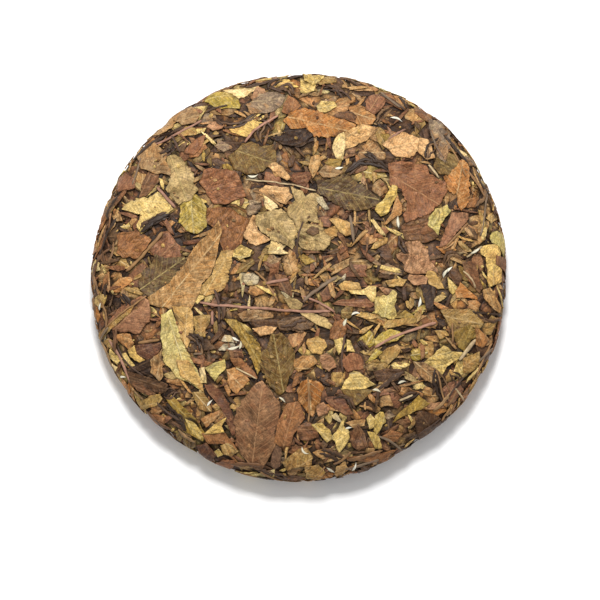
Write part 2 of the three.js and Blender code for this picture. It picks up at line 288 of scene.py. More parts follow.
def new_piece(name, points, faces, sharp, material, values, maps):
    """Puts arrays into a mesh object that rides on the cake. faces are arrays of triangles or
    quads, sharp is a flag a face, values are numbers or colours a point, maps are UV a corner."""
    mesh = bpy.data.meshes.new(name)
    corners = np.concatenate([part.ravel() for part in faces])
    sizes = np.concatenate([np.full(len(part), part.shape[1]) for part in faces])
    mesh.vertices.add(len(points))
    mesh.vertices.foreach_set("co", (points * MM).astype(np.float32).ravel())
    mesh.loops.add(len(corners))
    mesh.loops.foreach_set("vertex_index", corners.astype(np.int32))
    mesh.polygons.add(len(sizes))
    mesh.polygons.foreach_set("loop_start", (np.cumsum(sizes) - sizes).astype(np.int32))
    mesh.polygons.foreach_set("use_smooth", ~sharp)
    for key_name, value in values.items():
        width = value.shape[1] if value.ndim > 1 else 1
        kind = {1: "FLOAT", 3: "FLOAT_VECTOR", 4: "FLOAT_COLOR"}[width]
        socket = {1: "value", 3: "vector", 4: "color"}[width]
        made = mesh.attributes.new(key_name, kind, "POINT")
        made.data.foreach_set(socket, value.astype(np.float32).ravel())
    for key_name, value in maps.items():
        mesh.uv_layers.new(name=key_name).uv.foreach_set("vector", value.astype(np.float32).ravel())
    mesh.update(calc_edges=True)
    mesh.materials.append(material)
    piece = bpy.data.objects.new(name, mesh)
    bpy.context.scene.collection.objects.link(piece)
    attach(piece, "root")
    return piece


# Tea dust and broken leaf: dull dark brown, speckled with paler bits a millimetre across.
crumb, crumb_out = fresh_material("packed_tea_crumb")
tree = crumb.node_tree
place = node(tree, "TexCoord").outputs["Object"]
lumps = node(tree, "TexNoise", {"Vector": place, "Scale": 1 / (2.5 * MM), "Detail": 4.0})
bits = node(tree, "TexVoronoi", {"Vector": place, "Scale": 1 / (1.1 * MM)})
bit_shade = node(tree, "SeparateColor", {"Color": bits.outputs["Color"]}).outputs["Red"]
bit_mask = node(tree, "MapRange", {
    "Value": bit_shade, "From Min": 0.62, "From Max": 0.9,
}).outputs["Result"]
ground = node(tree, "Mix", {
    "Factor": lumps.outputs["Fac"],
    "A": (*linear("2E211A"), 1),
    "B": (*linear("5E4431"), 1),
}, data_type="RGBA").outputs["Result"]
speckled = node(tree, "Mix", {
    "Factor": bit_mask, "A": ground, "B": (*linear("8A6A44"), 1),
}, data_type="RGBA")
crumb_bump = node(tree, "Bump", {
    "Height": bits.outputs["Distance"], "Strength": 0.8, "Distance": 0.4 * MM,
})
crumb_shell = node(tree, "BsdfPrincipled", {
    "Base Color": speckled.outputs["Result"],
    "Roughness": 0.85,
    "Specular IOR Level": 0.2,
    "Normal": crumb_bump.outputs["Normal"],
})
tree.links.new(crumb_shell.outputs["BSDF"], crumb_out.inputs["Surface"])

# The two height maps: how high the tea lies over each side, from the crumb up.
crumb_relief = LUMP_HEIGHT * np.abs(rough_field(CRUMB_LUMP, 11))
crumb_relief = crumb_relief + GRAIN_HEIGHT * np.abs(rough_field(CRUMB_GRAIN, 12))
heap = np.stack([crumb_relief, np.rot90(crumb_relief)]).copy()
# A net of ridges, 1 along the lines where a random field passes zero, for crumpled leaves.
creases = np.clip(1 - 1.1 * np.abs(rough_field(CREASE_GRAIN, 13)), 0, 1)
cover = np.zeros(heap.shape, int)  # the mark of what lies on top
marks = itertools.count(1)
# For each piece, arrays for the press: side, place and height of its points, the mark of what
# they belong to, and how far they lie below its top.
laid = []
LAID_KEYS = ("side", "x", "y", "height", "mark", "below")

ring = np.linspace(0, WHOLE_REACH, CRUMB_RINGS + 1)[1:-1]
spoke = np.linspace(0, 2 * np.pi, CRUMB_SPOKES, endpoint=False)
reach, angle = [grid.ravel() for grid in np.meshgrid(ring, spoke, indexing="ij")]
reach = np.concatenate([reach, [0, WHOLE_REACH]])
angle = np.concatenate([angle, [0, 0]])
side = (reach > RIM_REACH).astype(int)
flat = np.where(side == UNDER_SIDE, WHOLE_REACH - reach, reach)
x, y = polar(flat, angle)
height = read_own(heap, side, x, y)
first = np.arange(len(ring) - 1)[:, None] * CRUMB_SPOKES + np.arange(CRUMB_SPOKES)
following = np.roll(first, -1, 1)
walls = np.stack([first, first + CRUMB_SPOKES, following + CRUMB_SPOKES, following], -1).reshape(-1, 4)
last = (len(ring) - 1) * CRUMB_SPOKES + np.arange(CRUMB_SPOKES)
crown_fan = np.stack([np.full(CRUMB_SPOKES, len(reach) - 2), first[0], following[0]], -1)
under_fan = np.stack([last, np.full(CRUMB_SPOKES, len(reach) - 1), np.roll(last, -1)], -1)
corner = np.concatenate([crown_fan.ravel(), under_fan.ravel(), walls.ravel()])
# Faces of the crown side lie on the map's left disc, those of the underside on its right.
face_corners = [3] * (2 * CRUMB_SPOKES) + [4] * len(walls)
face_side = np.concatenate([
    np.zeros(CRUMB_SPOKES), np.ones(CRUMB_SPOKES), np.repeat(ring[:-1] >= RIM_REACH, CRUMB_SPOKES),
])
corner_side = np.repeat(face_side, face_corners)
disc = np.where(corner_side == 1, WHOLE_REACH - reach[corner], reach[corner]) / WHOLE_REACH * 0.45
disc_map = np.stack([
    0.25 + 0.5 * corner_side + disc * np.cos(angle[corner]), 0.5 + disc * np.sin(angle[corner]),
], -1)
core = new_piece(
    "packed_crumb", np.zeros((len(reach), 3)), [crown_fan, under_fan, walls],
    np.zeros(len(face_side), bool), crumb, {}, {"OFBake": disc_map},
)
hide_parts("tea_cake")
laid.append((core, side, x, y, height, np.zeros(len(x)), np.zeros(len(x))))

# ---------------------------------------------------------------------------------------------
# Torn flakes
# Some fourteen hundred scraps of leaf, torn when the tea was withered and rolled, lie in two
# loose layers over the crumb on both sides. Each is a thin wavy solid that drapes over what lies
# under it. How any leaf is cut, laid and dressed starts here too.

# The tones of each kind of leaf. A leaf turns from its own tone towards another of its kind.
KINDS = {
    "tan_leaf": {
        "tan": "A57D4C", "ochre": "AF8A4D", "gold": "D4AF60", "peach": "C89B69", "orange": "9E642E",
        "cinnamon": "9D6C3E", "khaki": "93743E", "fawn": "886845", "grey_tan": "76624E",
    },
    "russet_leaf": {
        "russet": "885A32", "red_brown": "815334", "rose_brown": "83583D", "rose_tan": "A67B56",
        "brown": "67472C", "maroon": "533220",
    },
    "straw_leaf": {
        "straw": "C9AA65", "cream": "DCBE87", "lime": "A08736", "yellow": "B2944C",
        "pale_green": "B29F5B", "silver": "AA9A7E",
    },
    "olive_leaf": {
        "olive": "694D23", "dark_olive": "4C3825", "olive_yellow": "9A7931", "sage": "AC905F",
    },
    "dark_leaf": {
        "black_brown": "2F1F15", "umber": "533720", "chocolate": "5F452B", "slate": "614633",
    },
}
TONES = {tone: colour for tones in KINDS.values() for tone, colour in tones.items()}
KIND_OF = {tone: kind for kind, tones in KINDS.items() for tone in tones}
LEAF_THICKNESS = 0.3  # mm
LEAF_SPAN_CELLS = 3  # how far a leaf bridges from the high places under it
LEAF_STIFFNESS = 24  # how often its draped form is softened
VEIN_SPACING = 3.4  # mm, between side veins
FACET_MM = 5.5  # how wide the flat facets of a crumpled leaf are
BUMP_MM = 0.9  # how high the grain of a leaf's surface would be at full strength
FLAKE_LAYERS = {"lower": 300, "upper": 440}  # flakes on the face
UNDERSIDE_SHARE = 0.86  # of that many lie on the underside
FLAKE_LENGTHS = {"lower": (10, 18), "upper": (9, 22)}  # mm
FLAKE_WIDTHS = (0.4, 0.85)  # as shares of the length
OVER_RIM = 5  # mm, how far the flakes of each side run on over the rim
# Within so many mm of the rim, a share of the flakes lies along it, drawn out narrower.
RIM_BAND, RIM_SHARE, RIM_NARROWING = 16, 0.55, 0.7
# How many sides and rings a leaf of each size has: (least length, sides, rings).
LEAF_GRIDS = [(24, 100, 19), (14.5, 44, 9), (8.5, 28, 5), (0, 20, 3)]
FLAKE_GRIDS = {"lower": (14, 2), "upper": (20, 3)}
UNDER_RINGS = (0.55, 1.0)  # the rings of a leaf's hidden lower face, as shares of the way out
# How uneven, how frayed and how often notched the margin of each form is. A torn scrap has its
# own corners instead.
MARGINS = {
    "whole": (0.035, 0.012, 2), "oval": (0.03, 0.012, 1), "half": (0.06, 0.03, 2),
    "strap": (0.05, 0.04, 1),
}
# How well the veins of each form show.
VEIN_SHOW = {"whole": 1.0, "oval": 0.9, "half": 0.8, "torn": 0.5, "strap": 0.3}


def cut_leaf(form, length, width, draw, sides):
    """A leaf's outline and its creases. The outline is a radius for each angle in a disc that is
    then stretched to a leaf: 1 all round, or a power of 5 for a strap, cut by two straight tears
    on a half leaf and at the ends of a strap, made uneven by a few waves, notched, and frayed."""
    angle = np.arange(sides) * 2 * np.pi / sides
    radius = np.ones(sides)
    tears = draw.uniform(0, 2 * np.pi, 2)
    if form == "strap":
        radius = (np.abs(np.cos(angle)) ** 5 + np.abs(np.sin(angle)) ** 5) ** -0.2
        tears = [draw.normal(0, 0.4), np.pi + draw.normal(0, 0.4)]
    if form in ("whole", "oval"):
        tears = []
    for facing in tears:
        gap = np.cos(angle - facing)
        depth = draw.uniform(0.35, 0.9)
        radius = np.minimum(radius, np.where(gap > 0.05, depth / np.maximum(gap, 0.05), 9))
    uneven, fray, notches = MARGINS[form]
    for waves_round in (2, 3, 5, 8):
        radius = radius * (1 + uneven * draw.normal() * np.cos(waves_round * angle + draw.uniform(0, 6)))
    for _ in range(draw.integers(0, notches + 1)):
        off = (angle - draw.uniform(0, 2 * np.pi) + np.pi) % (2 * np.pi) - np.pi
        radius = radius * (1 - draw.uniform(0.15, 0.45) * np.exp(-((off / draw.uniform(0.1, 0.3)) ** 2)))
    radius = radius * (1 + fray * draw.normal(size=sides))
    leaf = {
        "angle": angle, "radius": radius, "form": form,
        "point": {"whole": 0.3, "half": 0.15}.get(form, 0.0), "taper": draw.uniform(-0.3, 0.3),
        "bend": draw.normal(0, 0.16), "half_length": 1.0, "half_width": 1.0, "middle": (0.0, 0.0),
    }
    u, v = disc_to_leaf(leaf, *polar(radius, angle))
    leaf["half_length"] = length / np.ptp(u)
    leaf["half_width"] = width / np.ptp(v)
    u, v = disc_to_leaf(leaf, *polar(radius, angle))
    leaf["middle"] = ((u.max() + u.min()) / 2, (v.max() + v.min()) / 2)
    return crumpled(leaf, length, width, draw)


def torn_corners(length, width, draw):
    """The corners of a scrap torn from a leaf, in mm from its middle: four to six, unevenly
    spaced round an oval and sometimes one drawn in, with a bend in each straight tear between."""
    many = draw.integers(4, 7)
    uneven = draw.uniform(-0.3, 0.3, many)
    angle = (np.arange(many) + uneven) * 2 * np.pi / many + draw.uniform(0, 6)
    out = draw.uniform(0.7, 1.15, many)
    if draw.random() < 0.35:
        out[draw.integers(many)] *= draw.uniform(0.45, 0.75)
    corners = np.stack(polar(1, angle), -1) * out[:, None]
    after = np.roll(corners, -1, 0)
    part = draw.uniform(0.3, 0.7, (many, 1))
    bends = (corners * part + after * (1 - part)) * (1 + draw.normal(0, 0.06, (many, 1)))
    corners = np.stack([corners, bends], 1).reshape(-1, 2)
    low, high = corners.min(0), corners.max(0)
    return (corners - (low + high) / 2) / (high - low) * (length, width)


def leaf_from_outline(corners, form, draw, sides):
    """A leaf whose outline is given by its corners in mm from its middle: the radius at each
    angle is where a ray from the middle meets the outline, frayed a little. The angle nearest to
    each corner is moved onto it."""
    angle = np.arange(sides) * 2 * np.pi / sides
    at_corner = np.arctan2(corners[:, 1], corners[:, 0])
    nearest = np.round(at_corner * sides / (2 * np.pi)).astype(int) % sides
    angle[nearest] += (at_corner - angle[nearest] + np.pi) % (2 * np.pi) - np.pi
    start, end = corners, np.roll(corners, -1, 0)
    ray = np.stack(polar(1, angle), -1)[:, None]
    edge = end - start
    across = ray[..., 0] * edge[:, 1] - ray[..., 1] * edge[:, 0]
    across = np.where(np.abs(across) < 1e-9, 1e-9, across)
    out = (start[:, 0] * edge[:, 1] - start[:, 1] * edge[:, 0]) / across
    share = (start[:, 0] * ray[..., 1] - start[:, 1] * ray[..., 0]) / across
    meets = (share >= -1e-6) & (share <= 1 + 1e-6) & (out > 0)
    radius = np.maximum(np.where(meets, out, 0).max(1), 0.3)
    rough = draw.normal(size=sides)
    rough = rough + (np.roll(rough, 1) + np.roll(rough, -1)) / 2
    radius = radius + np.minimum(0.28, 0.045 * radius) * rough
    leaf = {
        "angle": angle, "radius": radius, "form": form, "point": 0.0, "taper": 0.0, "bend": 0.0,
        "half_length": 1.0, "half_width": 1.0, "middle": (0.0, 0.0),
    }
    length, width = np.ptp(corners, axis=0)
    return crumpled(leaf, length, width, draw)


def crumpled(leaf, length, width, draw):
    """Adds how a leaf of that size is folded, creased and curled: heights and spans in mm. Some
    leaves dried flat, others crumpled."""
    size = np.clip(np.sqrt(length * width) / 13, 0.5, 1.25)
    crumple = draw.beta(1.2, 1.6)
    leaf.update(
        fold_turn=draw.uniform(0, np.pi), fold_span=draw.uniform(5, 11), fold_start=draw.uniform(0, 9),
        fold_height=(0.05 + 0.4 * crumple * draw.random()) * size, crease=(0.08 + 0.5 * crumple) * size,
        shift=draw.uniform(-60, 60, 2), curl=draw.uniform(0, 0.8) ** 2 * size, crumple=crumple,
        curl_at=draw.uniform(0, 2 * np.pi), veined=leaf["form"] in ("whole", "oval", "half"),
    )
    return leaf


def margin_at(leaf, angle):
    """How far out the leaf's margin is at an angle, in its disc."""
    return np.interp(angle, leaf["angle"], leaf["radius"], period=2 * np.pi)


def waist(leaf, p):
    """How wide the leaf is at p along it, from -1 to 1: drawn in to its tips, and tapered."""
    return (1.02 - np.clip(p, -1, 1) ** 2) ** leaf["point"] * (1 + leaf["taper"] * p)


def disc_to_leaf(leaf, p, q):
    """Stretches disc places to leaf places in mm: p along by half the length, q across by half
    the width and the waist, with the midrib bent to a shallow bow."""
    bow = leaf["bend"] * (p**2 - 0.3)
    u = p * leaf["half_length"] - leaf["middle"][0]
    return u, (q * waist(leaf, p) + bow) * leaf["half_width"] - leaf["middle"][1]


def leaf_relief(leaf, u, v, x, y):
    """For leaf places (u, v) at laid-out places (x, y): the share of the way from the middle to
    the margin, and the leaf's own relief in mm about its level, which is a straight fold as a
    triangular wave, a net of creases, a curled margin, and on a veined leaf the midrib and
    swells between the side veins."""
    p = (u + leaf["middle"][0]) / leaf["half_length"]
    bow = leaf["bend"] * (np.clip(p, -1.2, 1.2) ** 2 - 0.3)
    q = ((v + leaf["middle"][1]) / leaf["half_width"] - bow) / waist(leaf, p)
    angle = np.arctan2(q, p)
    share = np.hypot(p, q) / margin_at(leaf, angle)
    across_fold = u * np.cos(leaf["fold_turn"]) + v * np.sin(leaf["fold_turn"])
    phase = (across_fold + leaf["fold_start"]) / leaf["fold_span"]
    relief = leaf["fold_height"] * (2 * np.abs(phase - np.round(phase)) - 0.5)
    relief += leaf["crease"] * (read(creases, x + leaf["shift"][0], y + leaf["shift"][1]) - 0.4)
    inner = np.clip(share, 0, 1)
    relief += leaf["curl"] * np.maximum(np.cos(angle - leaf["curl_at"]), 0) ** 2 * inner**6
    if leaf["veined"]:
        relief += 0.2 * np.exp(-((v / 0.7) ** 2)) * (1 - inner**4)
        relief += 0.1 * np.abs(np.sin(np.pi * (u - 0.9 * np.abs(v)) / VEIN_SPACING)) * (1 - inner**2)
    return share, relief


def window(x, y, half):
    """The part of a height map within half mm of a place: its cells, its first cell, and the
    places of its cells."""
    low_x, low_y = int(x / CELL - half / CELL) - 1, int(y / CELL - half / CELL) - 1
    cells = int(2 * half / CELL) + 3
    low_x = int(np.clip(low_x, -MAP_HALF, MAP_HALF - cells))
    low_y = int(np.clip(low_y, -MAP_HALF, MAP_HALF - cells))
    rows = slice(low_y + MAP_HALF, low_y + MAP_HALF + cells)
    columns = slice(low_x + MAP_HALF, low_x + MAP_HALF + cells)
    grid_x, grid_y = np.meshgrid(
        (np.arange(cells) + low_x) * CELL, (np.arange(cells) + low_y) * CELL
    )
    return (rows, columns), (low_x, low_y), grid_x, grid_y


def raise_heap(side, x, y, half, height_at):
    """Sets both height maps to what height_at gives over a window, and marks whose top it is. A
    place on the other side's map has the same direction and the rest of the way over the rim.
    Gives back the new mark."""
    mark = next(marks)
    for map_side in (CROWN_SIDE, UNDER_SIDE):
        centre_x, centre_y, around = x, y, half
        if map_side != side:
            reach = np.hypot(x, y)
            if reach + half < WHOLE_REACH - MAP_HALF * CELL + 20:
                continue
            other = (WHOLE_REACH - reach) / reach
            centre_x, centre_y, around = x * other, y * other, half * max(other, 1) * 1.05
        cells, _, own_x, own_y = window(centre_x, centre_y, around)
        if map_side != side:
            own = np.maximum(np.hypot(own_x, own_y), 1)
            own_x, own_y = own_x * (WHOLE_REACH - own) / own, own_y * (WHOLE_REACH - own) / own
        inside, top = height_at(own_x, own_y)
        heap[map_side][cells][inside] = top[inside]
        cover[map_side][cells][inside] = mark
    return mark


def lay_leaf(side, x, y, length, width, turn, tone, draw, form="torn", grid=None, corners=None):
    """Lays one leaf on the heap: it drapes over a widened and softened copy of what lies there,
    then the heap takes its top. Its lower face has fewer rings, as it is hidden. Gives back its
    points and how they are joined."""
    sides, rings = grid or next((s, r) for least, s, r in LEAF_GRIDS if length >= least)
    if form == "torn" and corners is None:
        corners = torn_corners(length, width, draw)
    if corners is None:
        leaf = cut_leaf(form, length, width, draw, sides)
    else:
        leaf = leaf_from_outline(corners, form, draw, sides)
    cos, sin = polar(1, np.radians(turn))
    half = np.hypot(*disc_to_leaf(leaf, *polar(leaf["radius"], leaf["angle"]))).max() + 2
    cells, corner, _, _ = window(x, y, half)
    drape = softened(widened(heap[side][cells], LEAF_SPAN_CELLS), LEAF_STIFFNESS)

    def height_at(own_x, own_y):
        across, up = own_x - x, own_y - y
        u, v = across * cos + up * sin, up * cos - across * sin
        share, relief = leaf_relief(leaf, u, v, own_x, own_y)
        return share < 1, read(drape, own_x, own_y, corner) + LEAF_THICKNESS + relief

    ring_shares = ((np.arange(rings) + 1) / rings) ** 0.85
    under_angles = np.tile(leaf["angle"], len(UNDER_RINGS))
    share = np.concatenate([
        [0], np.repeat(ring_shares, sides), [0], np.repeat(UNDER_RINGS, sides),
    ])
    angle = np.concatenate([[0], np.tile(leaf["angle"], rings), [0], under_angles])
    margin = margin_at(leaf, angle)
    u, v = disc_to_leaf(leaf, *polar(share * margin, angle))
    margin_u, margin_v = disc_to_leaf(leaf, *polar(margin, angle))
    own_x, own_y = x + u * cos - v * sin, y + u * sin + v * cos
    _, top = height_at(own_x, own_y)
    lower = np.arange(len(u)) > sides * rings
    mark = raise_heap(side, x, y, half, height_at)
    # A leaf turns from its own tone towards a related one on one side.
    toward = linear(TONES[draw.choice(list(KINDS[KIND_OF[tone]]))])
    toward_x, toward_y = polar(1, leaf["curl_at"])
    turning = 0.5 + (u * toward_x + v * toward_y) / np.hypot(length, width)
    most, stray = (0.9, 0.1) if corners is None else (0.4, 0.03)
    turning = np.clip(turning * draw.uniform(0, most), 0, 1)[:, None]
    shade = (linear(TONES[tone]) * (1 - turning) + toward * turning) * draw.normal(1, stray)
    rib = 0 if leaf["veined"] else draw.uniform(-0.5, 0.5) * width
    return {
        "side": np.full(len(u), side), "x": own_x, "y": own_y, "height": top,
        "mark": np.full(len(u), mark), "below": lower * LEAF_THICKNESS,
        "grid": (sides, rings),
        "tone": np.column_stack([np.clip(shade, 0, 1), np.full(len(u), VEIN_SHOW[form])]),
        "spread": np.stack([u, v + rib, np.hypot(margin_u - u, margin_v - v)], -1),
        "crumple": np.full(len(u), leaf["crumple"]), "size": (length, width),
    }


def leaf_faces(sides, rings):
    """How a leaf's points join: a fan at its middle and triangles ring by ring on both faces,
    and a strip of quads round its margin."""
    count = 1 + sides * rings

    def disc(start, many):
        ring = start + 1 + np.arange(many)[:, None] * sides + np.arange(sides)
        after = np.roll(ring, -1, 1)
        inner, outer = ring[:-1].ravel(), ring[1:].ravel()
        inner_after, outer_after = after[:-1].ravel(), after[1:].ravel()
        return ring[-1], after[-1], np.concatenate([
            np.stack([np.full(sides, start), ring[0], after[0]], -1),
            np.stack([inner, outer, outer_after], -1),
            np.stack([inner, outer_after, inner_after], -1),
        ])

    rim, rim_after, top = disc(0, rings)
    low_rim, low_rim_after, low = disc(count, len(UNDER_RINGS))
    return top, low[:, ::-1], np.stack([rim, low_rim, low_rim_after, rim_after], -1)


def pack_cells(sizes):
    """Places rectangles on shelves in a square sheet, tallest first. Gives the lower left corner
    of each and the sheet's side."""
    sheet = np.sqrt((sizes[:, 0] * sizes[:, 1]).sum()) * 1.06 + sizes.max()
    corners = np.zeros_like(sizes)
    x = y = shelf = 0.0
    for index in np.argsort(-sizes[:, 1], kind="stable"):
        wide, tall = sizes[index]
        if x + wide > sheet:
            x, y, shelf = 0.0, y + shelf, 0.0
        corners[index] = (x, y)
        x, shelf = x + wide, max(shelf, tall)
    return corners, max(sheet, y + shelf)


def bind(name, things, faces, sharp, material, kept, uv):
    """Makes one piece of laid leaves or tubes, with their kept values at its points, and hands
    their places to the press."""
    values = {key: np.concatenate([thing[key] for thing in things]) for key in kept}
    places = [np.concatenate([thing[key] for thing in things]) for key in LAID_KEYS]
    # Painted crevice shade with dust, filled in by the press.
    values["crevice_shade_and_dust"] = np.zeros(len(places[0]))
    flat = np.zeros((len(places[0]), 3))
    piece = new_piece(name, flat, faces, sharp, material, values, {"OFBake": uv})
    laid.append((piece, *places))


def bind_leaves(name, leaves, material):
    """Joins laid leaves into one piece. Each leaf has its own place in the OFBake map: its upper
    face at full size, and its lower face beside it at a third."""
    LOWER_SHARE, GAP = 0.34, 0.7
    sizes = np.array([
        ((leaf["size"][0] + GAP) * (1 + LOWER_SHARE) + GAP, leaf["size"][1] + 2 * GAP)
        for leaf in leaves
    ])
    cells, sheet = pack_cells(sizes)
    top_faces, low_faces, rims, top_map, low_map, rim_map = [], [], [], [], [], []
    start = 0
    for leaf, cell in zip(leaves, cells):
        sides, rings = leaf["grid"]
        top, low, rim = leaf_faces(sides, rings)
        if leaf["side"][0] == UNDER_SIDE:
            top, low, rim = top[:, ::-1], low[:, ::-1], rim[:, ::-1]
        at = leaf["spread"][:, :2] - leaf["spread"][:, :2].min(0)
        outwards = 1 + GAP / (2 * np.ptp(at, axis=0))
        under_face = (np.arange(len(at)) > sides * rings)[:, None]
        upper = np.where(under_face, at[0] + (at - at[0]) * outwards, at) + cell + GAP / 2
        lower = at * LOWER_SHARE + cell + (leaf["size"][0] + 1.5 * GAP, GAP / 2)
        for faces, places, found, mapped in (
            (top, upper, top_faces, top_map),
            (low, lower, low_faces, low_map),
            (rim, upper, rims, rim_map),
        ):
            found.append(faces + start)
            mapped.append(places[faces.ravel()])
        start += len(at)
    flat_faces = [np.concatenate(part) for part in (top_faces, low_faces, rims)]
    uv = np.concatenate([part for group in (top_map, low_map, rim_map) for part in group]) / sheet
    sharp = np.concatenate([
        np.zeros(len(flat_faces[0]) + len(flat_faces[1]), bool), np.ones(len(flat_faces[2]), bool)
    ])
    bind(name, leaves, flat_faces, sharp, material, ("tone", "spread", "crumple"), uv)


def leaf_finish(name, blotch, rib, roughness, specular):
    """Dry pressed leaf. Its own tone, blotched towards another colour over a few millimetres,
    streaked along its side veins and flecked over half a millimetre, with paler veins, and
    margins darkened partly as browned edge and partly as painted edge shadow. Painted shade
    lies in its fine wrinkles where it is crumpled and along the creases between its facets,
    each flat facet is painted lighter towards its raised side, and painted shade with dust
    lies in the crevices."""
    material, output = fresh_material(name)
    tree = material.node_tree
    place = node(tree, "TexCoord").outputs["Object"]
    tone = node(tree, "Attribute", attribute_name="tone")
    spread = node(tree, "SeparateXYZ", {
        "Vector": node(tree, "Attribute", attribute_name="spread").outputs["Vector"],
    })
    crevice_shade_and_dust = node(tree, "Attribute", attribute_name="crevice_shade_and_dust").outputs["Fac"]
    crumple = node(tree, "Attribute", attribute_name="crumple").outputs["Fac"]

    def math(operation, a, b=0.0):
        return node(tree, "Math", {0: a, 1: b}, operation=operation).outputs["Value"]

    def plus(a, b):
        return math("ADD", a, b)

    def times(a, b):
        return math("MULTIPLY", a, b)

    def most(a, b):
        return math("MAXIMUM", a, b)

    def ranged(value, low, high, start=0.0, end=1.0):
        return node(tree, "MapRange", {
            "Value": value, "From Min": low, "From Max": high, "To Min": start, "To Max": end,
        }, interpolation_type="SMOOTHSTEP").outputs["Result"]

    def mixed(factor, a, b, blend="MIX"):
        made = node(tree, "Mix", {"Factor": factor, "A": a, "B": b}, data_type="RGBA", blend_type=blend)
        return made.outputs["Result"]

    def clouds(size_mm):
        return node(tree, "TexNoise", {
            "Vector": place, "Scale": 1 / (size_mm * MM), "Detail": 2.0, "Roughness": 0.6,
        }).outputs["Fac"]

    patches, swells, flecks = clouds(7.0), clouds(3.0), clouds(0.7)
    off_rib = math("ABSOLUTE", spread.outputs["Y"])
    vein_run = math("SUBTRACT", spread.outputs["X"], times(off_rib, 0.9))
    off_vein = math("ABSOLUTE", math("SUBTRACT", math("FRACT", math("DIVIDE", vein_run, VEIN_SPACING)), 0.5))
    lines = most(ranged(off_rib, 0.5, 0.15), ranged(off_vein, 0.41, 0.5, 0.0, 0.8))
    veins = times(times(lines, tone.outputs["Alpha"]), ranged(swells, 0.4, 0.55, 0.2))

    # Each leaf has its own slice of the patterns that run with it.
    slice_mm = times(crumple, 900.0)

    def along_leaf(run, run_mm, off_mm, detail):
        at = node(tree, "CombineXYZ", {
            0: math("DIVIDE", run, run_mm), 1: math("DIVIDE", spread.outputs["Y"], off_mm), 2: slice_mm,
        }).outputs["Vector"]
        return node(tree, "TexNoise", {"Vector": at, "Scale": 1.0, "Detail": detail}).outputs["Fac"]

    # Streaks that follow the side veins, and wrinkles that run along the leaf: thin folds where a
    # noise passes its middle value.
    streaks = along_leaf(vein_run, 0.9, 2.2, 1.0)
    folds = math("ABSOLUTE", math("SUBTRACT", along_leaf(spread.outputs["X"], 9.0, 3.4, 0.5), 0.5))
    # Painted shade: the thin fold lines of a crumpled leaf are darkened in colour.
    wrinkle_shade = times(ranged(folds, 0.03, 0.0), ranged(crumple, 0.15, 0.8))
    # Flat facets with a sharp crease between: each cell of a net has a slope of its own.
    own = node(tree, "CombineXYZ", {
        0: spread.outputs["X"], 1: spread.outputs["Y"], 2: slice_mm,
    }).outputs["Vector"]
    shift = node(tree, "TexNoise", {"Vector": own, "Scale": 0.25, "Detail": 1.0}).outputs["Color"]
    bent = node(tree, "VectorMath", {
        0: shift, 1: (3.0,) * 3, 2: own,
    }, operation="MULTIPLY_ADD").outputs["Vector"]
    facets = node(tree, "TexVoronoi", {"Vector": bent, "Scale": 1 / FACET_MM})
    slope = node(tree, "VectorMath", {0: facets.outputs["Color"], 1: (0.5,) * 3}, operation="SUBTRACT")
    off = node(tree, "VectorMath", {0: bent, 1: facets.outputs["Position"]}, operation="SUBTRACT")
    facet = node(tree, "VectorMath", {
        0: slope.outputs["Vector"], 1: off.outputs["Vector"],
    }, operation="DOT_PRODUCT").outputs["Value"]
    net = node(tree, "TexVoronoi", {"Vector": bent, "Scale": 1 / FACET_MM}, feature="DISTANCE_TO_EDGE")
    # Painted shade along the creases between the facets.
    crease = times(ranged(net.outputs["Distance"], 0.05, 0.01), ranged(swells, 0.4, 0.55))

    blotched = mixed(ranged(patches, 0.48, 0.58, 0.0, 0.45), tone.outputs["Color"], (*linear(blotch), 1))
    mottled = mixed(ranged(swells, 0.46, 0.38, 0.0, 0.18), blotched, (*linear(rib), 1))
    mottled = mixed(ranged(swells, 0.54, 0.62, 0.0, 0.18), mottled, (*linear("5A3820"), 1))
    shade = times(ranged(flecks, 0.36, 0.64, 0.76, 1.24), ranged(streaks, 0.36, 0.64, 0.82, 1.18))
    # Painted facet shading: each facet is lighter towards its raised side and darker towards its low side.
    shade = times(shade, plus(times(facet, 0.12), 1.0))
    grey = node(tree, "CombineXYZ", {0: shade, 1: shade, 2: shade}).outputs["Vector"]
    veined = mixed(times(veins, 0.6), mixed(1.0, mottled, grey, "MULTIPLY"), (*linear(rib), 1))
    # The margin darkens towards near black: partly a browned edge, partly painted shadow at the edge.
    margin = ranged(plus(spread.outputs["Z"], times(flecks, 0.8)), 0.8, 0.4, 0.0, 0.4)
    margin = times(margin, ranged(swells, 0.42, 0.58))
    # Painted shade: the crevices (with dust), the wrinkles and the creases are darkened towards near black.
    dark = most(times(crevice_shade_and_dust, 0.92), times(wrinkle_shade, 0.5))
    dark = most(dark, times(crease, 0.25))
    shaded_and_dusted = mixed(most(dark, margin), veined, (*linear("1C1009"), 1))
    grain = plus(times(flecks, 0.14), times(streaks, 0.1))
    folded = times(math("MINIMUM", folds, 0.14), plus(times(crumple, 4.0), 0.5))
    folded = plus(grain, plus(folded, times(veins, 0.2)))
    faceted = times(facet, plus(times(crumple, 0.35), 0.1))
    height = plus(folded, plus(faceted, times(swells, 0.2)))
    bump = node(tree, "Bump", {"Height": height, "Strength": 1.0, "Distance": BUMP_MM * MM})
    shell = node(tree, "BsdfPrincipled", {
        "Base Color": shaded_and_dusted,
        "Roughness": ranged(patches, 0.35, 0.65, roughness - 0.06, roughness + 0.08),
        "Specular IOR Level": specular,
        "Normal": bump.outputs["Normal"],
    })
    tree.links.new(shell.outputs["BSDF"], output.inputs["Surface"])
    return material


def bind_kinds(found, word):
    """Binds the leaves of each kind to a piece of their own."""
    for kind, leaves in found.items():
        if leaves:
            bind_leaves(kind.replace("leaf", word), leaves, LEAF_FINISHES[kind])


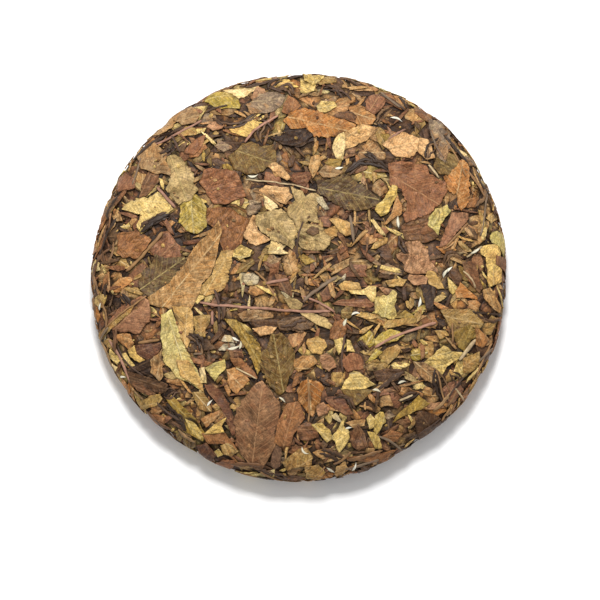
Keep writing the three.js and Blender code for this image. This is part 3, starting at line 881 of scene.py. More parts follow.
# Dry leaf is papery and matt. Darker, more oxidised leaf keeps some of its wax and is smoother.
LEAF_FINISHES = {
    "tan_leaf": leaf_finish("dry_tan_leaf", "A0703C", "D9BC8A", 0.62, 0.2),
    "russet_leaf": leaf_finish("dry_russet_leaf", "784A2C", "B58A60", 0.58, 0.22),
    "straw_leaf": leaf_finish("dry_straw_leaf", "B8954E", "E2D0A0", 0.64, 0.2),
    "olive_leaf": leaf_finish("dry_olive_leaf", "745A2E", "B8A268", 0.58, 0.22),
    "dark_leaf": leaf_finish("dark_waxy_leaf", "3E2817", "8A6A4A", 0.55, 0.22),
}

draw = np.random.default_rng(3)
flake_tones = {
    "lower": "umber chocolate brown maroon rose_brown russet khaki cinnamon brown olive fawn tan".split(),
    "upper": (
        "tan ochre cinnamon russet red_brown rose_brown brown khaki straw fawn tan chocolate olive "
        "yellow rose_tan orange grey_tan umber tan cinnamon slate"
    ).split(),
}
flakes = {kind: [] for kind in KINDS}
for layer, on_face in FLAKE_LAYERS.items():
    for side, many in ((CROWN_SIDE, on_face), (UNDER_SIDE, int(on_face * UNDERSIDE_SHARE))):
        # Spots a golden angle apart, so that they cover the side evenly, and strayed a little.
        far = RIM_REACH + OVER_RIM if side == CROWN_SIDE else WHOLE_REACH - RIM_REACH - OVER_RIM
        step = np.arange(many) + 0.5
        angle = step * np.pi * (3 - np.sqrt(5)) + (layer == "upper")
        spots = np.stack(polar(far * np.sqrt(step / many), angle), -1) + draw.normal(0, 2, (many, 2))
        for spot in draw.permutation(many):
            x, y = spots[spot]
            length = draw.uniform(*FLAKE_LENGTHS[layer])
            width = length * draw.uniform(*FLAKE_WIDTHS)
            turn = draw.uniform(0, 360)
            near_rim = abs(far - np.hypot(x, y)) < RIM_BAND
            if near_rim and draw.random() < RIM_SHARE:
                turn = np.degrees(np.arctan2(y, x)) + 90 + draw.normal(0, 18)
                width *= RIM_NARROWING
            tone = draw.choice(flake_tones[layer])
            form = draw.choice(["torn", "torn", "torn", "half", "strap"])
            leaf = lay_leaf(side, x, y, length, width, turn, tone, draw, form, FLAKE_GRIDS[layer])
            flakes[KIND_OF[tone]].append(leaf)
bind_kinds(flakes, "flakes")

# ---------------------------------------------------------------------------------------------
# Leaves that show
# Leaf in the places where it shows on the face: first dark scraps, which peek out from under the
# rest, then lighter ones, the larger under the smaller, then fine shred in the gaps, and on top
# the leaves that are whole enough to have an outline of their own.

# For each tone: x, y, length and width in mm, and turn in degrees, as seen from above.
DARK_SHOWN = {
    "black_brown": [
        (-3, 68.5, 26, 7, 12), (-58, 20, 18, 5, -70), (73, 35, 9, 4, 60), (-88, 2, 7, 2.5, -27),
        (-86, -7, 9, 2.5, -20), (-85, -12, 7, 5, 0), (-73, -44, 14, 8, 30), (-47, -41, 5, 5, 0),
        (61, -8, 8, 8, 0), (66.5, -22, 8, 4, -39), (-70, -50, 26, 10, -20), (-76, -45, 16, 7, -10),
        (43, -72, 7, 3, 90), (-35.5, -72, 4, 3, 90),
    ],
    "umber": [
        (41, 58, 9, 5, 0), (72, 62, 6, 5, 40), (-89, 31, 17, 9, 90), (40, 14, 22, 5, -55),
        (84, 30, 5, 5, 0), (64, 12, 8, 7, 90), (-38, -26, 8, 6, 90), (14, -7, 8, 6, 90), (93, -6, 6, 5, 0),
        (88, -39, 12, 8, 90), (70, -46, 8, 5, 0), (-49, -60, 14, 8, -60), (-10, -85, 8, 6, 90),
        (15, -86, 10, 4, -25), (6, 23, 6, 5, 0),
    ],
    "chocolate": [
        (22, 78, 11, 4, -15), (-72, 45, 16, 5, 55), (-88, 20, 10, 8, 0), (-18, 14, 10, 7, 0),
        (-28, 6, 10, 8, 90), (-2, 48, 8, 6, 0), (-12, 48, 8, 4, 0), (14, 8, 7, 6, 0), (5, 5, 7, 6, 0),
        (57, 24, 16, 12, 0), (92, 40, 16, 8, 90), (-67, -17, 8, 4, 90), (-71, -35, 12, 8, 0),
        (-31, 0, 12, 8, 90), (-46, -32, 12, 8, 0), (-16, -22, 10, 4, 0), (43, 2, 9, 6, 0),
        (2, -22, 12, 7, 0), (75, 0, 8, 6, 90), (-38, -60, 22, 7, -52), (-5, -58, 8, 6, 0),
        (2, -78, 8, 8, 0), (-4, -49, 6, 3, 0), (40, -85, 8, 4, 20), (19, -63, 8, 6, 0),
        (44, -48, 11, 7, 0), (59, -73, 6, 4, 0), (62, -78, 9, 4, -40),
    ],
    "slate": [
        (-36, 64, 12, 6, 0), (-88, 3, 10, 4, 0), (-97, -3, 22, 7, 90), (-23, -6, 7, 6, 0),
        (-2, -4, 8, 7, 90), (-17, 8, 14, 8, 0), (-17, 83, 21, 11, 10),
    ],
    "maroon": [
        (-79, 28, 8, 2.5, 0), (-94, -22, 10, 8, 90), (-6, -23, 10, 6, 0), (88, -24, 6, 5, 0),
        (-35, -88, 24, 10, -15),
    ],
}
SHOWN = {
    "tan": [
        (17, 95, 10, 5, 0), (53, 78, 7, 6, 90), (-76, 47, 9, 7, 90), (-44, 38, 6, 5, 0), (35, 25, 8, 6, 0),
        (31, 8, 11, 8, 0), (67, 23, 10, 9, 0), (81, 22, 12, 12, 0), (88, 30, 24, 8, 90),
        (-88, -3, 8, 8, 0), (-50, -56, 6, 4, 0), (40, -60, 6, 5, 0), (30, -84, 10, 3, 20),
        (-79, 60, 10, 5, 50),
    ],
    "ochre": [
        (52, 87, 10, 4, -35), (-85, 8, 10, 4, -20), (-79, -9, 8, 6, 0), (73.5, -12, 6, 2, 90),
        (60, -35, 6, 6, 0), (72, -49, 6, 3, 90), (84, -48, 4, 3, 90), (54, -35, 12, 6, 0),
        (48, 40, 8, 7, 90), (84, 46, 5, 5, 0),
    ],
    "gold": [(5, -37, 14, 3, -45), (-74, -63, 6, 2, 80), (-40, -71, 14, 3, 35)],
    "peach": [(31, 93, 10, 5, 0)],
    "orange": [
        (20, 17, 13, 4, -25), (70, 13, 7, 2.5, 0), (-84, -3, 8, 4, 30), (-96, -17, 7, 3, 90),
        (8, -1, 6, 4, 0), (77, -12, 12, 5, 0), (-81.5, -54, 9, 3, 110), (-77, -58, 6, 2, 90),
        (63, -65, 12, 3, 0), (65, -70, 9, 5, 90), (-64, -17, 6, 2.5, 90), (-2, -44, 6, 4, 0),
    ],
    "cinnamon": [
        (16, 24, 5, 5, 0), (-19, -5, 8, 5, 0), (62, -20, 8, 6, -50), (-37, -50, 12, 8, -60),
        (-60, -69, 6, 6, 0), (-38, -66, 5, 4, 90), (-63, 88, 9, 3, 40), (-66, -63, 12, 3, 25),
    ],
    "khaki": [(-8.5, 95, 12, 5, 0), (28, 23, 6, 6, 0), (-52, -76, 8, 5, -50), (82, -41, 8, 6, 40)],
    "fawn": [
        (34, 60, 10, 9, 0), (39, 69, 8, 5, 0), (38, 43, 6, 5, 90), (-2, -92, 8, 5, 0), (62, -57, 10, 6, 0),
        (56, -67, 8, 6, 0),
    ],
    "grey_tan": [
        (-11.5, 61, 10, 4, 90), (-20, 40, 6, 6, 0), (-19, 34, 9, 5, 0), (76, 12, 6, 6, 0),
        (43, -67, 5, 3, 0), (52, -84, 9, 4, -30),
    ],
    "russet": [
        (62, 79, 9, 6, -35), (32, 18, 10, 5, 90), (85, 7, 8, 5, 90), (78, -52, 12, 3, 8),
        (33, -80, 10, 6, 90), (-59, -51, 6, 4, 0), (57, -21, 8, 5, 0), (-20, 96, 9, 3, 8),
        (72, -63, 10, 4, -50), (45, 86, 9, 4, -30),
    ],
    "red_brown": [
        (-81, 49, 12, 9, 45), (-95, 14, 8, 8, 0), (-51, 66, 16, 7, 50), (16, -85, 13, 4, -28),
        (-62, 82, 8, 3, 48), (84, -58, 8, 4, -60), (96, 27, 10, 4, 95),
    ],
    "rose_brown": [
        (20, 7, 12, 8, 0), (-79, -2, 16, 6, 50), (-45, -41, 6, 5, 90), (23, 3, 14, 4, 0),
        (79, -43, 10, 6, 0), (-3, -53, 6, 3, 0), (11, -60, 12, 5, 90), (28, -67, 12, 3, 15),
        (45, -58, 10, 8, 0), (-60, -49, 5, 3, 20), (67, 76, 8, 4, -50),
    ],
    "rose_tan": [(42, -6.5, 6, 2, 0), (66, -62, 12, 2.5, 0)],
    "brown": [
        (56, -67, 10, 6, 0), (22, -60, 9, 6, 60), (-69, 22, 15, 5, 30), (-6, -97, 14, 4, -4),
        (-58, -84, 10, 4, -42), (90, -50, 10, 4, 60),
    ],
    "straw": [
        (-29, 93, 22, 7, 10), (-28, 36, 6, 4, 0), (-80, 25, 8, 4, 0), (27, 48, 5, 4, 0),
        (19, -71, 8, 3, 60), (14, -66, 6, 2.5, 90), (48, -43, 6, 3, 0), (-30, -62, 4, 4, 0),
        (-48, 72, 4, 2.5, 40), (-8, 82, 6, 2.5, 90), (-69.5, -17, 4, 3, 90), (82, 60, 14, 3, -55),
        (78, -42, 10, 6, 60),
    ],
    "cream": [(78, 58, 8, 2.5, -55)],
    "lime": [(26, 97, 8, 4, 0), (57, -16, 6, 3, 0), (57, -37, 6, 4, 0), (-48, -80, 8, 4, -50)],
    "yellow": [
        (35, 50, 10, 5, -20), (-87, -35, 7, 6, 90), (-33, -14, 8, 3, 0), (57, -52, 4, 3, 0),
        (-62, -73, 12, 6, -40), (-83, -50, 7, 5, 90), (-25, -26, 9, 3, -50), (-26, -86, 7, 2, -50),
    ],
    "silver": [
        (19, 52, 4, 2, 0), (-22, 49.5, 5, 2, 0), (-27, -2, 12, 2, 80), (-7, -6.5, 8, 3, -50),
        (57, -12, 6, 4, 90), (-33, -30, 5, 3, 0), (-34, -34, 6, 2, 0), (20.5, -1.5, 5, 1.5, 45),
        (18, -68, 4, 1.5, -50), (11, 91, 5, 1.5, 0), (-93, -32, 8, 2, 60),
    ],
    "olive": [(50, -20, 10, 6, 0), (96, -21, 10, 3, 90), (10, -67, 9, 3, 0)],
    "olive_yellow": [(46, 89, 8, 3, -28)],
}
# Leaves with an outline of their own, in the order that they lie, the last ones on top: tone,
# turn of the midrib in degrees, x and y in mm of each corner in turn, as seen from above, and
# the form where it isn't torn.
OUTLINED = [
    # left
    ("russet", 60, [-44, 33, -33, 33, -26, 29, -24, 27, -29, 15, -32, 12, -36, 13, -40, 24, -46, 28]),
    ("red_brown", 20, [-45, 52, -42, 53, -30.5, 51, -27.5, 43, -26.5, 40, -35, 36, -40, 36, -47, 46]),
    ("russet", 0, [-86, 20, -78, 22, -73, 20, -71, 18, -74, 13, -77, 10, -83, 10, -86, 12]),
    ("rose_brown", 40, [-66, 21, -62, 21, -57, 15, -56, 11, -57, 8, -62, 7, -68, 10, -70, 13], "half"),
    ("dark_olive", 35, [
        -68, 10, -63, 9, -55, 9.5, -53, 6, -58, 0, -62, -5, -66, -7.5, -70, -8.5, -74, -6.5, -75, -3, -74, 2,
        -70, 6,
    ], "whole"),
    ("ochre", 60, [
        -33, 12.5, -31.5, 12, -33.5, 0, -36, -5.5, -44, -8.5, -47, -7.5, -47, -5, -41, 1.5, -40, 6, -37, 12,
    ], "half"),
    ("tan", 52, [
        -39, 26, -41, 21, -47, 17.5, -50, 14, -53, 8, -58, 1.5, -62, -4, -66, -7, -70.5, -9, -70, -12, -64,
        -14, -56, -15.5, -51, -14.5, -48, -9, -46, -3, -42, 1.5, -40, 8, -38.5, 15, -37.5, 22,
    ], "whole"),
    ("lime", -85, [
        -50, 39.5, -47, 37.5, -45, 34, -44.5, 25, -46, 22.5, -50, 21.5, -54, 23, -56.5, 27, -56, 32, -57, 36,
        -54, 39.5,
    ], "half"),
    ("sage", -70, [
        -63.5, 59, -60, 59, -56, 57, -51.5, 51, -49.5, 43, -51, 39, -54, 37, -57.5, 36.5, -63.5, 43, -61,
        48.5, -63, 52,
    ], "whole"),
    ("straw", -5, [
        -84, 33, -80, 37, -76, 38.5, -72, 38.5, -68, 41, -65, 39.5, -60.5, 33, -67, 28, -72, 24, -75, 22, -77,
        26, -74, 30, -79, 31.5,
    ]),
    ("straw", 0, [-31, 10, -30, 13, -27.5, 15.5, -23, 13, -24, 10.5, -28, 9]),
    ("fawn", 10, [-28, -18, -22, -15.5, -14, -17, -13, -19.5, -20, -21, -26, -21]),
    ("silver", 0, [-26, 0.5, -22, 1.5, -19.5, 0, -20.5, -3, -24, -3.5, -26, -2]),
    # upper left and top
    ("brown", 65, [-72, 51, -68, 50, -67.5, 47, -70, 43, -73, 40, -76, 39, -74, 47]),
    ("rose_brown", 0, [-86, 50, -81, 49, -78.5, 47, -79, 44, -82.5, 43, -86, 42]),
    ("fawn", 30, [-77, 59, -74, 62, -69.5, 65, -64, 61, -63, 54, -62.5, 50.5, -71, 52, -75, 53]),
    ("tan", 45, [-72, 69, -66, 75, -60, 80, -57, 80, -62, 73, -68, 70], "strap"),
    ("fawn", 10, [-60, 77, -57, 81, -52, 83.5, -49, 80, -50, 76, -56, 75]),
    ("red_brown", 50, [-49, 67.5, -45, 69, -47, 63, -50, 60, -54, 61, -54, 62.5]),
    ("grey_tan", 0, [-40, 64, -37, 66, -33, 64, -32, 63, -36, 61.5, -38, 62.5]),
    ("olive", -20, [
        -33, 59, -30, 61.5, -27, 65, -22.5, 66, -18, 63.5, -13.5, 64, -11.5, 61, -11.5, 57, -14, 54.5, -20,
        50.5, -24.5, 50.5, -30.5, 53,
    ], "oval"),
    ("lime", 0, [-45.5, 88, -42.5, 90, -31, 90, -29, 85, -29.5, 83, -40, 83.5, -45, 86.5]),
    ("cream", 12, [-36, 91.3, -29.5, 92.3, -20, 94.4, -20.4, 91.9, -29, 88.3, -34, 90.5], "strap"),
    ("gold", 10, [-33, 73, -27.5, 76, -26, 75, -23, 76.7, -17, 75, -22, 72, -25, 69.3, -32, 71.2]),
    ("rose_tan", 0, [-44, 73.6, -42, 75.5, -39, 76, -36.3, 74.6, -37.2, 72.8, -41, 72.2]),
    ("rose_tan", 60, [-23, 88, -20, 92.5, -17, 92, -15.5, 89, -18, 87, -21, 86.5]),
    ("grey_tan", 5, [
        -25.5, 84.7, -22.5, 86, -18, 89.6, -10.5, 91, -7.5, 88.4, -8, 84.7, -13, 80.5, -22.5, 80, -24, 82.5,
    ]),
    ("russet", 80, [-8, 81, -5, 88.5, -2, 87, 0, 83.5, -4, 80]),
    ("cinnamon", 10, [10, 81, 15.3, 83, 21.3, 84.8, 23.7, 83.5, 23, 81, 16.5, 78, 13, 78.6]),
    ("straw", 10, [9, 83.5, 11, 85.5, 16, 85, 17, 83, 13, 80.5, 10, 80.5]),
    ("cinnamon", -20, [23.7, 81.7, 28.5, 83.5, 34.5, 80, 35.7, 76.8, 34.5, 74, 29, 73.7, 26.7, 75], "half"),
    ("black_brown", 10, [
        -13.5, 68.2, -10, 68.2, -5, 70.7, 3.3, 71.9, 7, 71.3, 7.5, 69.4, 3.3, 65.7, -0.3, 63.3, -7.5, 65,
    ], "strap"),
    ("orange", -15, [
        -6.9, 76.2, -4.5, 79.3, -1, 81, 3.3, 82, 10.5, 80, 21.3, 76.2, 26, 73.7, 25.5, 72, 16.5, 68.8, 11.7,
        68.2, 7.5, 68.8, 3.3, 73, -3.3, 72.5,
    ], "half"),
    ("brown", -10, [16.5, 78, 20, 79.6, 24.3, 80, 26.7, 77.4, 26, 75, 22.5, 76.5]),
    ("peach", 30, [21, 69.5, 26, 72, 30, 73, 35.5, 72, 35, 69, 31, 65.7, 22.5, 62.7, 21.5, 65]),
    ("cream", -70, [16, 62.7, 17, 66, 19, 69, 21, 69.5, 22, 65, 20.7, 57.5, 17.7, 58.4]),
    ("rose_brown", 60, [
        32, 84.7, 33.3, 87.2, 36.3, 88, 39.3, 87.8, 40.2, 84.7, 38.7, 81, 35.7, 79, 32, 81,
    ], "oval"),
    ("straw", 0, [1, 97, 4, 96.8, 7.5, 95, 7, 91, 3.5, 90, 1, 91]),
    ("khaki", 0, [2, 98.5, 10, 98.5, 17, 97.5, 17, 95, 10, 94, 5, 96.5]),
    # middle
    ("peach", -5, [-19, 42.5, -15, 44.5, -6, 43.5, -4, 39, -7, 36, -13, 38.5, -18, 40]),
    ("cream", -60, [-16.5, 39.5, -13, 37.5, -10.5, 34, -13, 32.3, -15.5, 33.5]),
    ("maroon", 10, [-4.5, 48, -2, 50.3, 3, 51, 6, 49.5, 3, 44.3, -1, 45.5]),
    ("peach", 50, [-14, 53.5, -11, 55.5, -8, 53.5, -4.5, 48.5, -6, 47.5, -9, 49]),
    ("tan", 80, [5, 53, 6, 58, 9.5, 58.5, 10, 55, 8.5, 52, 7, 49.5]),
    ("olive_yellow", 10, [13, 55.5, 15, 57, 19.5, 56.5, 18.5, 53.5, 15, 53]),
    ("fawn", -10, [10, 51, 13, 54, 18, 52.5, 21, 50.5, 17, 48.8, 12, 48.5]),
    ("cream", 0, [-12.5, 17, -6.3, 15.5, -8, 13.5, -5.5, 12, -9, 11.5, -14, 11.5]),
    ("ochre", -20, [15, 27.5, 18, 28.5, 25, 25, 24.5, 21, 22, 20, 19, 22.5]),
    ("peach", 90, [-22, 29.5, -20, 29, -20, 23, -14, 18.5, -20.5, 15.7, -22, 17, -26.3, 20, -25, 23]),
    ("olive", 10, [-18.5, 31, -9, 32.5, -12, 29.5, -15.5, 27]),
    ("sage", -50, [
        -19.5, 30, -9, 32.7, -6.3, 31, -3.5, 27.5, -1.5, 24.5, -1.2, 22.5, -2.5, 17, -3.6, 14.3, -6.8, 16.5,
        -11.8, 17.5, -17.5, 23, -19.8, 25.8,
    ], "half"),
    ("sage", -85, [
        -3.5, 43.6, -0.4, 42, 1.7, 41.5, 3, 39, 5, 40.3, 8.2, 40.3, 9.2, 38.7, 8.2, 34.4, 8.4, 30, 9.2, 26.8,
        4.4, 27.9, -0.4, 23, -2.5, 27.9, -5.1, 31, -4, 35.4, -1.4, 36.5, -2.5, 39.8,
    ], "half"),
    ("sage", -20, [
        0.1, 22.4, 2.8, 25.1, 9.2, 24.6, 11.9, 21.4, 14, 19.2, 13.8, 16, 11.9, 12.7, 6.6, 13.8, 1.2, 14.3,
        -0.9, 20,
    ], "half"),
    ("chocolate", 0, [4, 22, 6, 24, 8.5, 23.5, 9, 21.5, 6.5, 20.5], "oval"),
    ("silver", -60, [9, 38, 11, 38.5, 14, 33.5, 12, 33.3, 9, 36.3]),
    ("dark_olive", -12, [
        8.7, 47.3, 13, 46.5, 20, 48.6, 24.5, 48.3, 30, 43.4, 36.5, 38, 38, 34.8, 27.5, 32.4, 23.3, 32.7, 15.5,
        36.7, 12, 39.7, 9.5, 40.4,
    ], "oval"),
    # upper right
    ("olive", -20, [66, 60, 73.5, 57.5, 77, 54, 72, 49, 66, 50, 63.5, 53]),
    ("grey_tan", -75, [61, 74.5, 67.5, 74.5, 72, 72, 71, 66, 68.5, 55.5, 65, 58.5, 63, 66], "strap"),
    ("peach", -20, [57, 66, 60.5, 66, 63.5, 57.5, 60, 57, 56, 60.5]),
    ("peach", 15, [
        40.5, 63.5, 44, 67, 48.5, 69.5, 53, 68, 56, 66, 55, 61, 52, 57.5, 48.5, 57, 44, 60.5,
    ], "half"),
    ("orange", 80, [
        68.6, 48.3, 72, 50, 75.5, 55, 79, 55, 80, 50, 80, 36.7, 76.7, 33, 75, 36, 75.5, 39.7, 70, 42.2,
    ], "half"),
    ("brown", 10, [51.5, 27.5, 60, 30, 62, 29, 63, 24.5, 65.3, 20.2, 60, 17, 51.5, 18.4, 49, 24.5]),
    ("red_brown", -30, [
        43, 53.8, 48, 55, 60, 53.2, 61, 49.5, 65.3, 47, 68.6, 46, 70, 42.2, 67, 36.7, 63.5, 32.4, 60, 30, 55,
        28.7, 51, 27.5, 49, 30.6, 51.5, 34.2, 48, 42.8, 43, 44,
    ], "half"),
    ("rose_tan", 75, [
        47, 11, 49.5, 12.3, 51.3, 16.5, 57, 17, 60, 14.7, 62, 8, 65.5, 4.4, 65.5, 2.6, 53, 1.4,
    ], "half"),
    ("rose_brown", 55, [
        72.5, 30.5, 76, 31, 79.7, 30.5, 80, 28, 73, 19.6, 70, 16, 67, 15.3, 70.7, 25.7,
    ], "strap"),
    ("pale_green", 60, [61.7, 25.7, 62.3, 29.3, 64.7, 32.4, 69.5, 34.2, 71.3, 31.8, 67, 25.7, 66, 20.8]),
    ("cinnamon", 70, [46, 39, 48, 34.8, 48.5, 30.6, 45.5, 29.4, 42, 26.3, 40.7, 26.3, 43.7, 30.6]),
    ("yellow", 50, [
        37, 35, 39.5, 36.7, 42, 41, 43.7, 43.7, 46, 42.5, 46, 39, 43.7, 36, 42.5, 31.8, 39, 30.6, 36.5, 33,
    ]),
    # right
    ("gold", 90, [87, 13.5, 90.7, 15.4, 95, 15, 95.8, 7, 92.5, 5.6, 89.5, 5.3, 89.5, 10, 87, 11]),
    ("gold", 90, [89.8, 5.3, 96, 6.5, 96.4, 0, 96, -1.7, 90.7, -4.5, 90, 0]),
    ("pale_green", 90, [91, 19, 92, 22, 96, 21, 97.5, 17.8, 98, 13.5, 97.5, 11, 95, 15.4, 92, 16.6]),
    ("brown", -60, [78, 6.2, 81.7, 7.4, 84, 5, 87, -4.2, 86, -7.2, 83, -4.2, 79.3, 0.7]),
    ("umber", -50, [71.5, 4, 74.5, 3.5, 77, 0.5, 76.5, -3.5, 74, -2.5, 72, 0.5]),
    ("yellow", -50, [71, -1, 74, -4, 75.5, -6, 73, -8, 71.5, -6]),
    ("tan", -60, [88, -6.5, 91, -6, 93.5, -10, 96, -14, 95, -17, 91, -13, 88.5, -10]),
    ("cinnamon", -30, [81, -12, 84, -11, 86, -13, 84, -16, 81, -15]),
    ("orange", -30, [77, -3.5, 83.5, -9, 84, -10.3, 80.5, -9.6, 75.7, -9.6, 75, -6.6]),
    ("ochre", -60, [61, 2.5, 64.5, 2, 67, -1, 68.5, -5, 64.5, -5, 62, -3, 60.5, 0]),
    ("rose_tan", -30, [53, 1, 58, 0.5, 60.5, -1, 59.5, -4, 55, -3.5, 52.5, -1]),
    ("black_brown", -80, [58, -4.5, 61.5, -4, 64.5, -6, 63.5, -15, 60.5, -15, 59.5, -10]),
    ("khaki", -10, [
        68, -16.4, 71, -15.8, 81, -15.5, 84, -17.6, 87, -19.4, 87.7, -21.8, 84.7, -25, 81.7, -23.7, 76.3, -25,
        73.3, -26, 71.5, -23,
    ], "half"),
    ("olive_yellow", 70, [
        75.7, -25.2, 81, -23.7, 84.7, -26, 84, -28.6, 81.7, -30.4, 81.7, -34, 78.7, -35.6, 76.3, -33.5, 73.6,
        -27.4,
    ], "half"),
    ("orange", -60, [84, -25, 86, -26, 90, -30, 87, -33.5, 84.5, -32]),
    ("khaki", 0, [65, -26, 69, -26, 70.5, -28, 67, -29.5]),
    ("straw", 15, [
        65, -36.5, 68.5, -34.4, 72.7, -36, 77, -37, 74.5, -39.6, 70.3, -42.6, 68.5, -45.7, 67.3, -47.5, 65,
        -46.6, 65.5, -44, 60, -41.4,
    ]),
    ("fawn", -40, [54.5, -41, 59, -41.5, 63.5, -44, 66, -47.5, 63.5, -50.5, 60, -49.5, 57, -46.5], "half"),
    ("ochre", -5, [42, -2, 46, -1, 50, -1.5, 48.5, -4, 43, -4.5]),
    ("ochre", -10, [19.5, -4, 22, -2, 28, -3, 29.5, -6, 25, -6.5, 20.5, -6]),
    ("straw", 0, [24, -6.5, 30, -6.5, 33, -4.5, 36, -5, 36.5, -11.5, 34.5, -12, 32.5, -8.5, 25, -8]),
    ("rose_brown", 0, [17, -13, 21.5, -11, 31.5, -10.5, 35.5, -13.5, 33.5, -14.5, 24, -14]),
    ("olive", 0, [20.5, -16.5, 22.5, -14.5, 25, -15, 25, -18, 22.5, -20, 20.5, -19], "oval"),
    ("ochre", -5, [28, -18.5, 30, -17, 35, -18, 36, -19.5, 32, -20]),
    ("pale_green", 80, [
        36, -12, 37.5, -9.5, 42.5, -9, 44, -7, 46.5, -8, 46, -11, 45, -13.5, 46, -18.5, 45, -20.5, 40.5, -19,
        35, -17, 36.5, -16,
    ]),
    ("olive_yellow", 10, [46.5, -19.5, 50.5, -16.5, 54, -18.5, 54.5, -20.5]),
    ("khaki", 5, [42, -21, 46, -20.5, 54.5, -20, 54.5, -22, 49, -23, 42.5, -24.5, 40.5, -24], "strap"),
    ("lime", 10, [35, -31.5, 39.5, -27, 43, -25.5, 47, -26, 50, -28, 46, -30.5, 37, -32.5]),
    ("lime", 60, [28.5, -31, 33.5, -26, 35, -28, 35.5, -32, 33.5, -33.5], "half"),
    ("khaki", 40, [38.5, -37.5, 42, -34.5, 46, -33, 48, -35.5, 46, -38, 42.5, -41.5, 39.5, -40.5]),
    ("lime", 40, [32, -41.5, 36.5, -35.5, 39, -36.5, 36, -39.5]),
    # lower left
    ("khaki", 60, [-95.5, -9.5, -93.5, -8.5, -91, -9, -91.5, -11.5, -93, -14, -95, -13.5, -97, -12], "oval"),
    ("rose_brown", 38, [
        -89, -20, -85, -15.5, -79, -11, -75, -9.5, -72.5, -11, -70.5, -15, -71, -21, -76, -26, -84, -26,
        -89.5, -23,
    ], "half"),
    ("khaki", 42, [-95.5, -29, -94, -26, -88, -21.5, -79, -14.5, -80, -17.5, -89, -25, -93, -29.5], "strap"),
    ("cinnamon", -30, [-86.5, -28, -83, -27.5, -80, -27.5, -78.5, -31.5, -80, -34.5, -85, -30.5]),
    ("straw", -30, [-90.5, -38, -89, -35.5, -84.5, -39, -86, -42, -88, -40]),
    ("maroon", 20, [-76.5, -33, -66, -32, -65, -34, -68, -38, -70.5, -39.5, -76, -38]),
    ("gold", -40, [-80, -35.5, -77.5, -33.5, -76.5, -37, -73, -39.5, -74.5, -41.5, -79, -38.5]),
    ("straw", -50, [-83, -37.5, -81.5, -37, -77.5, -43, -79.5, -43, -82, -40], "strap"),
    ("cream", -25, [-91.5, -40.5, -89, -41.5, -86.5, -43, -87.5, -44.5, -90, -43], "strap"),
    ("black_brown", 20, [-81, -44.5, -73.5, -40.5, -70.5, -39.5, -69.5, -48, -77.5, -45.5]),
    ("umber", -20, [
        -81, -45, -72.5, -48, -68, -49.5, -63, -51.5, -63, -53, -66, -56, -70.5, -55.5, -79, -50.5,
    ], "half"),
    ("brown", -30, [-79, -51, -75, -51.5, -66, -58, -70, -57.5, -76, -54.5], "strap"),
    ("orange", 80, [-80.5, -51.5, -80, -55, -81.5, -58, -82.5, -57.5], "strap"),
    ("fawn", 80, [
        -69.5, -39.5, -66, -37, -64, -34, -63, -38, -63.5, -41.5, -65, -43, -64.5, -46.5, -66, -49, -69.5,
        -45.5,
    ]),
    ("khaki", 10, [-75, -60, -70.5, -57.5, -66, -56.5, -65.5, -59.5, -68, -62, -75, -63]),
    ("ochre", 85, [
        -59, -15, -52, -14.5, -50.5, -17.5, -50, -22, -50.5, -27, -53, -33, -55, -30.5, -57.5, -23.5,
    ], "half"),
    ("pale_green", -73, [
        -64.5, -19, -60, -16.5, -58, -17.5, -57.5, -23.5, -56, -29.5, -53.5, -35, -51, -40, -48.5, -44.5, -47,
        -49, -45.5, -55.5, -50.5, -51.5, -58, -47.5, -61.5, -43, -63.5, -40.5, -64, -37.5, -65, -24,
    ], "half"),
    ("ochre", -60, [-57, -41, -52, -41.5, -49.5, -45, -47, -50, -46, -55, -50.5, -51, -56, -47.5]),
    ("cream", -80, [-47, -44.5, -45, -44, -44, -51, -46.5, -50.5]),
    ("khaki", 90, [-49, -20, -42.5, -19.5, -43, -23, -44.5, -25, -44.5, -28, -47, -28, -49, -26.5]),
    ("pale_green", 40, [-44, -44, -40, -42, -36, -40.5, -35.5, -44, -38, -47, -40, -50, -42, -47]),
    # below the middle
    ("umber", 0, [-22, -21, -10, -20.5, -10, -24, -21, -24]),
    ("chocolate", 0, [
        -9.7, -21.7, -6, -19.3, -0.7, -19, 6.6, -22.3, 5.3, -24.8, 1, -25.4, -8.5, -25.4,
    ], "oval"),
    ("peach", 0, [-21.5, -25, -16, -24, -11, -24.5, -13, -27, -18, -28]),
    ("russet", -45, [-32, -39.5, -27, -40, -23, -44, -20, -48.5, -25, -47.5, -30, -44]),
    ("olive_yellow", -60, [
        -34.5, -21, -29.4, -21, -26.4, -25.4, -22.2, -29, -19.2, -32.7, -18, -36.4, -17.7, -42.5, -19.8,
        -46.5, -23.4, -37, -29.4, -27.8,
    ], "half"),
    ("olive", 100, [
        -13.3, -29, -8.5, -27.8, -5, -31.5, -3, -36.4, -2.2, -41.3, -2.5, -45.5, -5.5, -48.6, -6.7, -53.5, -9,
        -56, -13.3, -52.2, -15.7, -48, -17.5, -42.5, -17.8, -37.6, -15, -34,
    ], "oval"),
    ("sage", -28, [1, -16.5, 4.7, -16.2, 13, -20.5, 16, -23.6, 15.5, -25.4, 7.7, -22.3, 1.7, -18.4], "strap"),
    ("ochre", 0, [4.7, -30.3, 8.3, -29, 12, -30.3, 12.8, -33.4, 10, -36.4, 6.5, -36.4, 3.8, -32]),
    ("cinnamon", 0, [-1.5, -40, 2, -38.5, 6, -38.5, 8, -41, 4, -44, 0, -45, -2, -43]),
    ("rose_tan", -30, [10, -38, 13, -37, 16, -39, 17, -43, 14, -45, 11, -43]),
    ("cinnamon", -45, [-34.2, -45, -30.6, -44.3, -24, -49.8, -29.4, -56, -33, -53.5], "half"),
    ("russet", 60, [17.5, -21.5, 21, -21.5, 22.5, -25, 21.5, -28, 19, -30, 15, -29, 15.5, -25]),
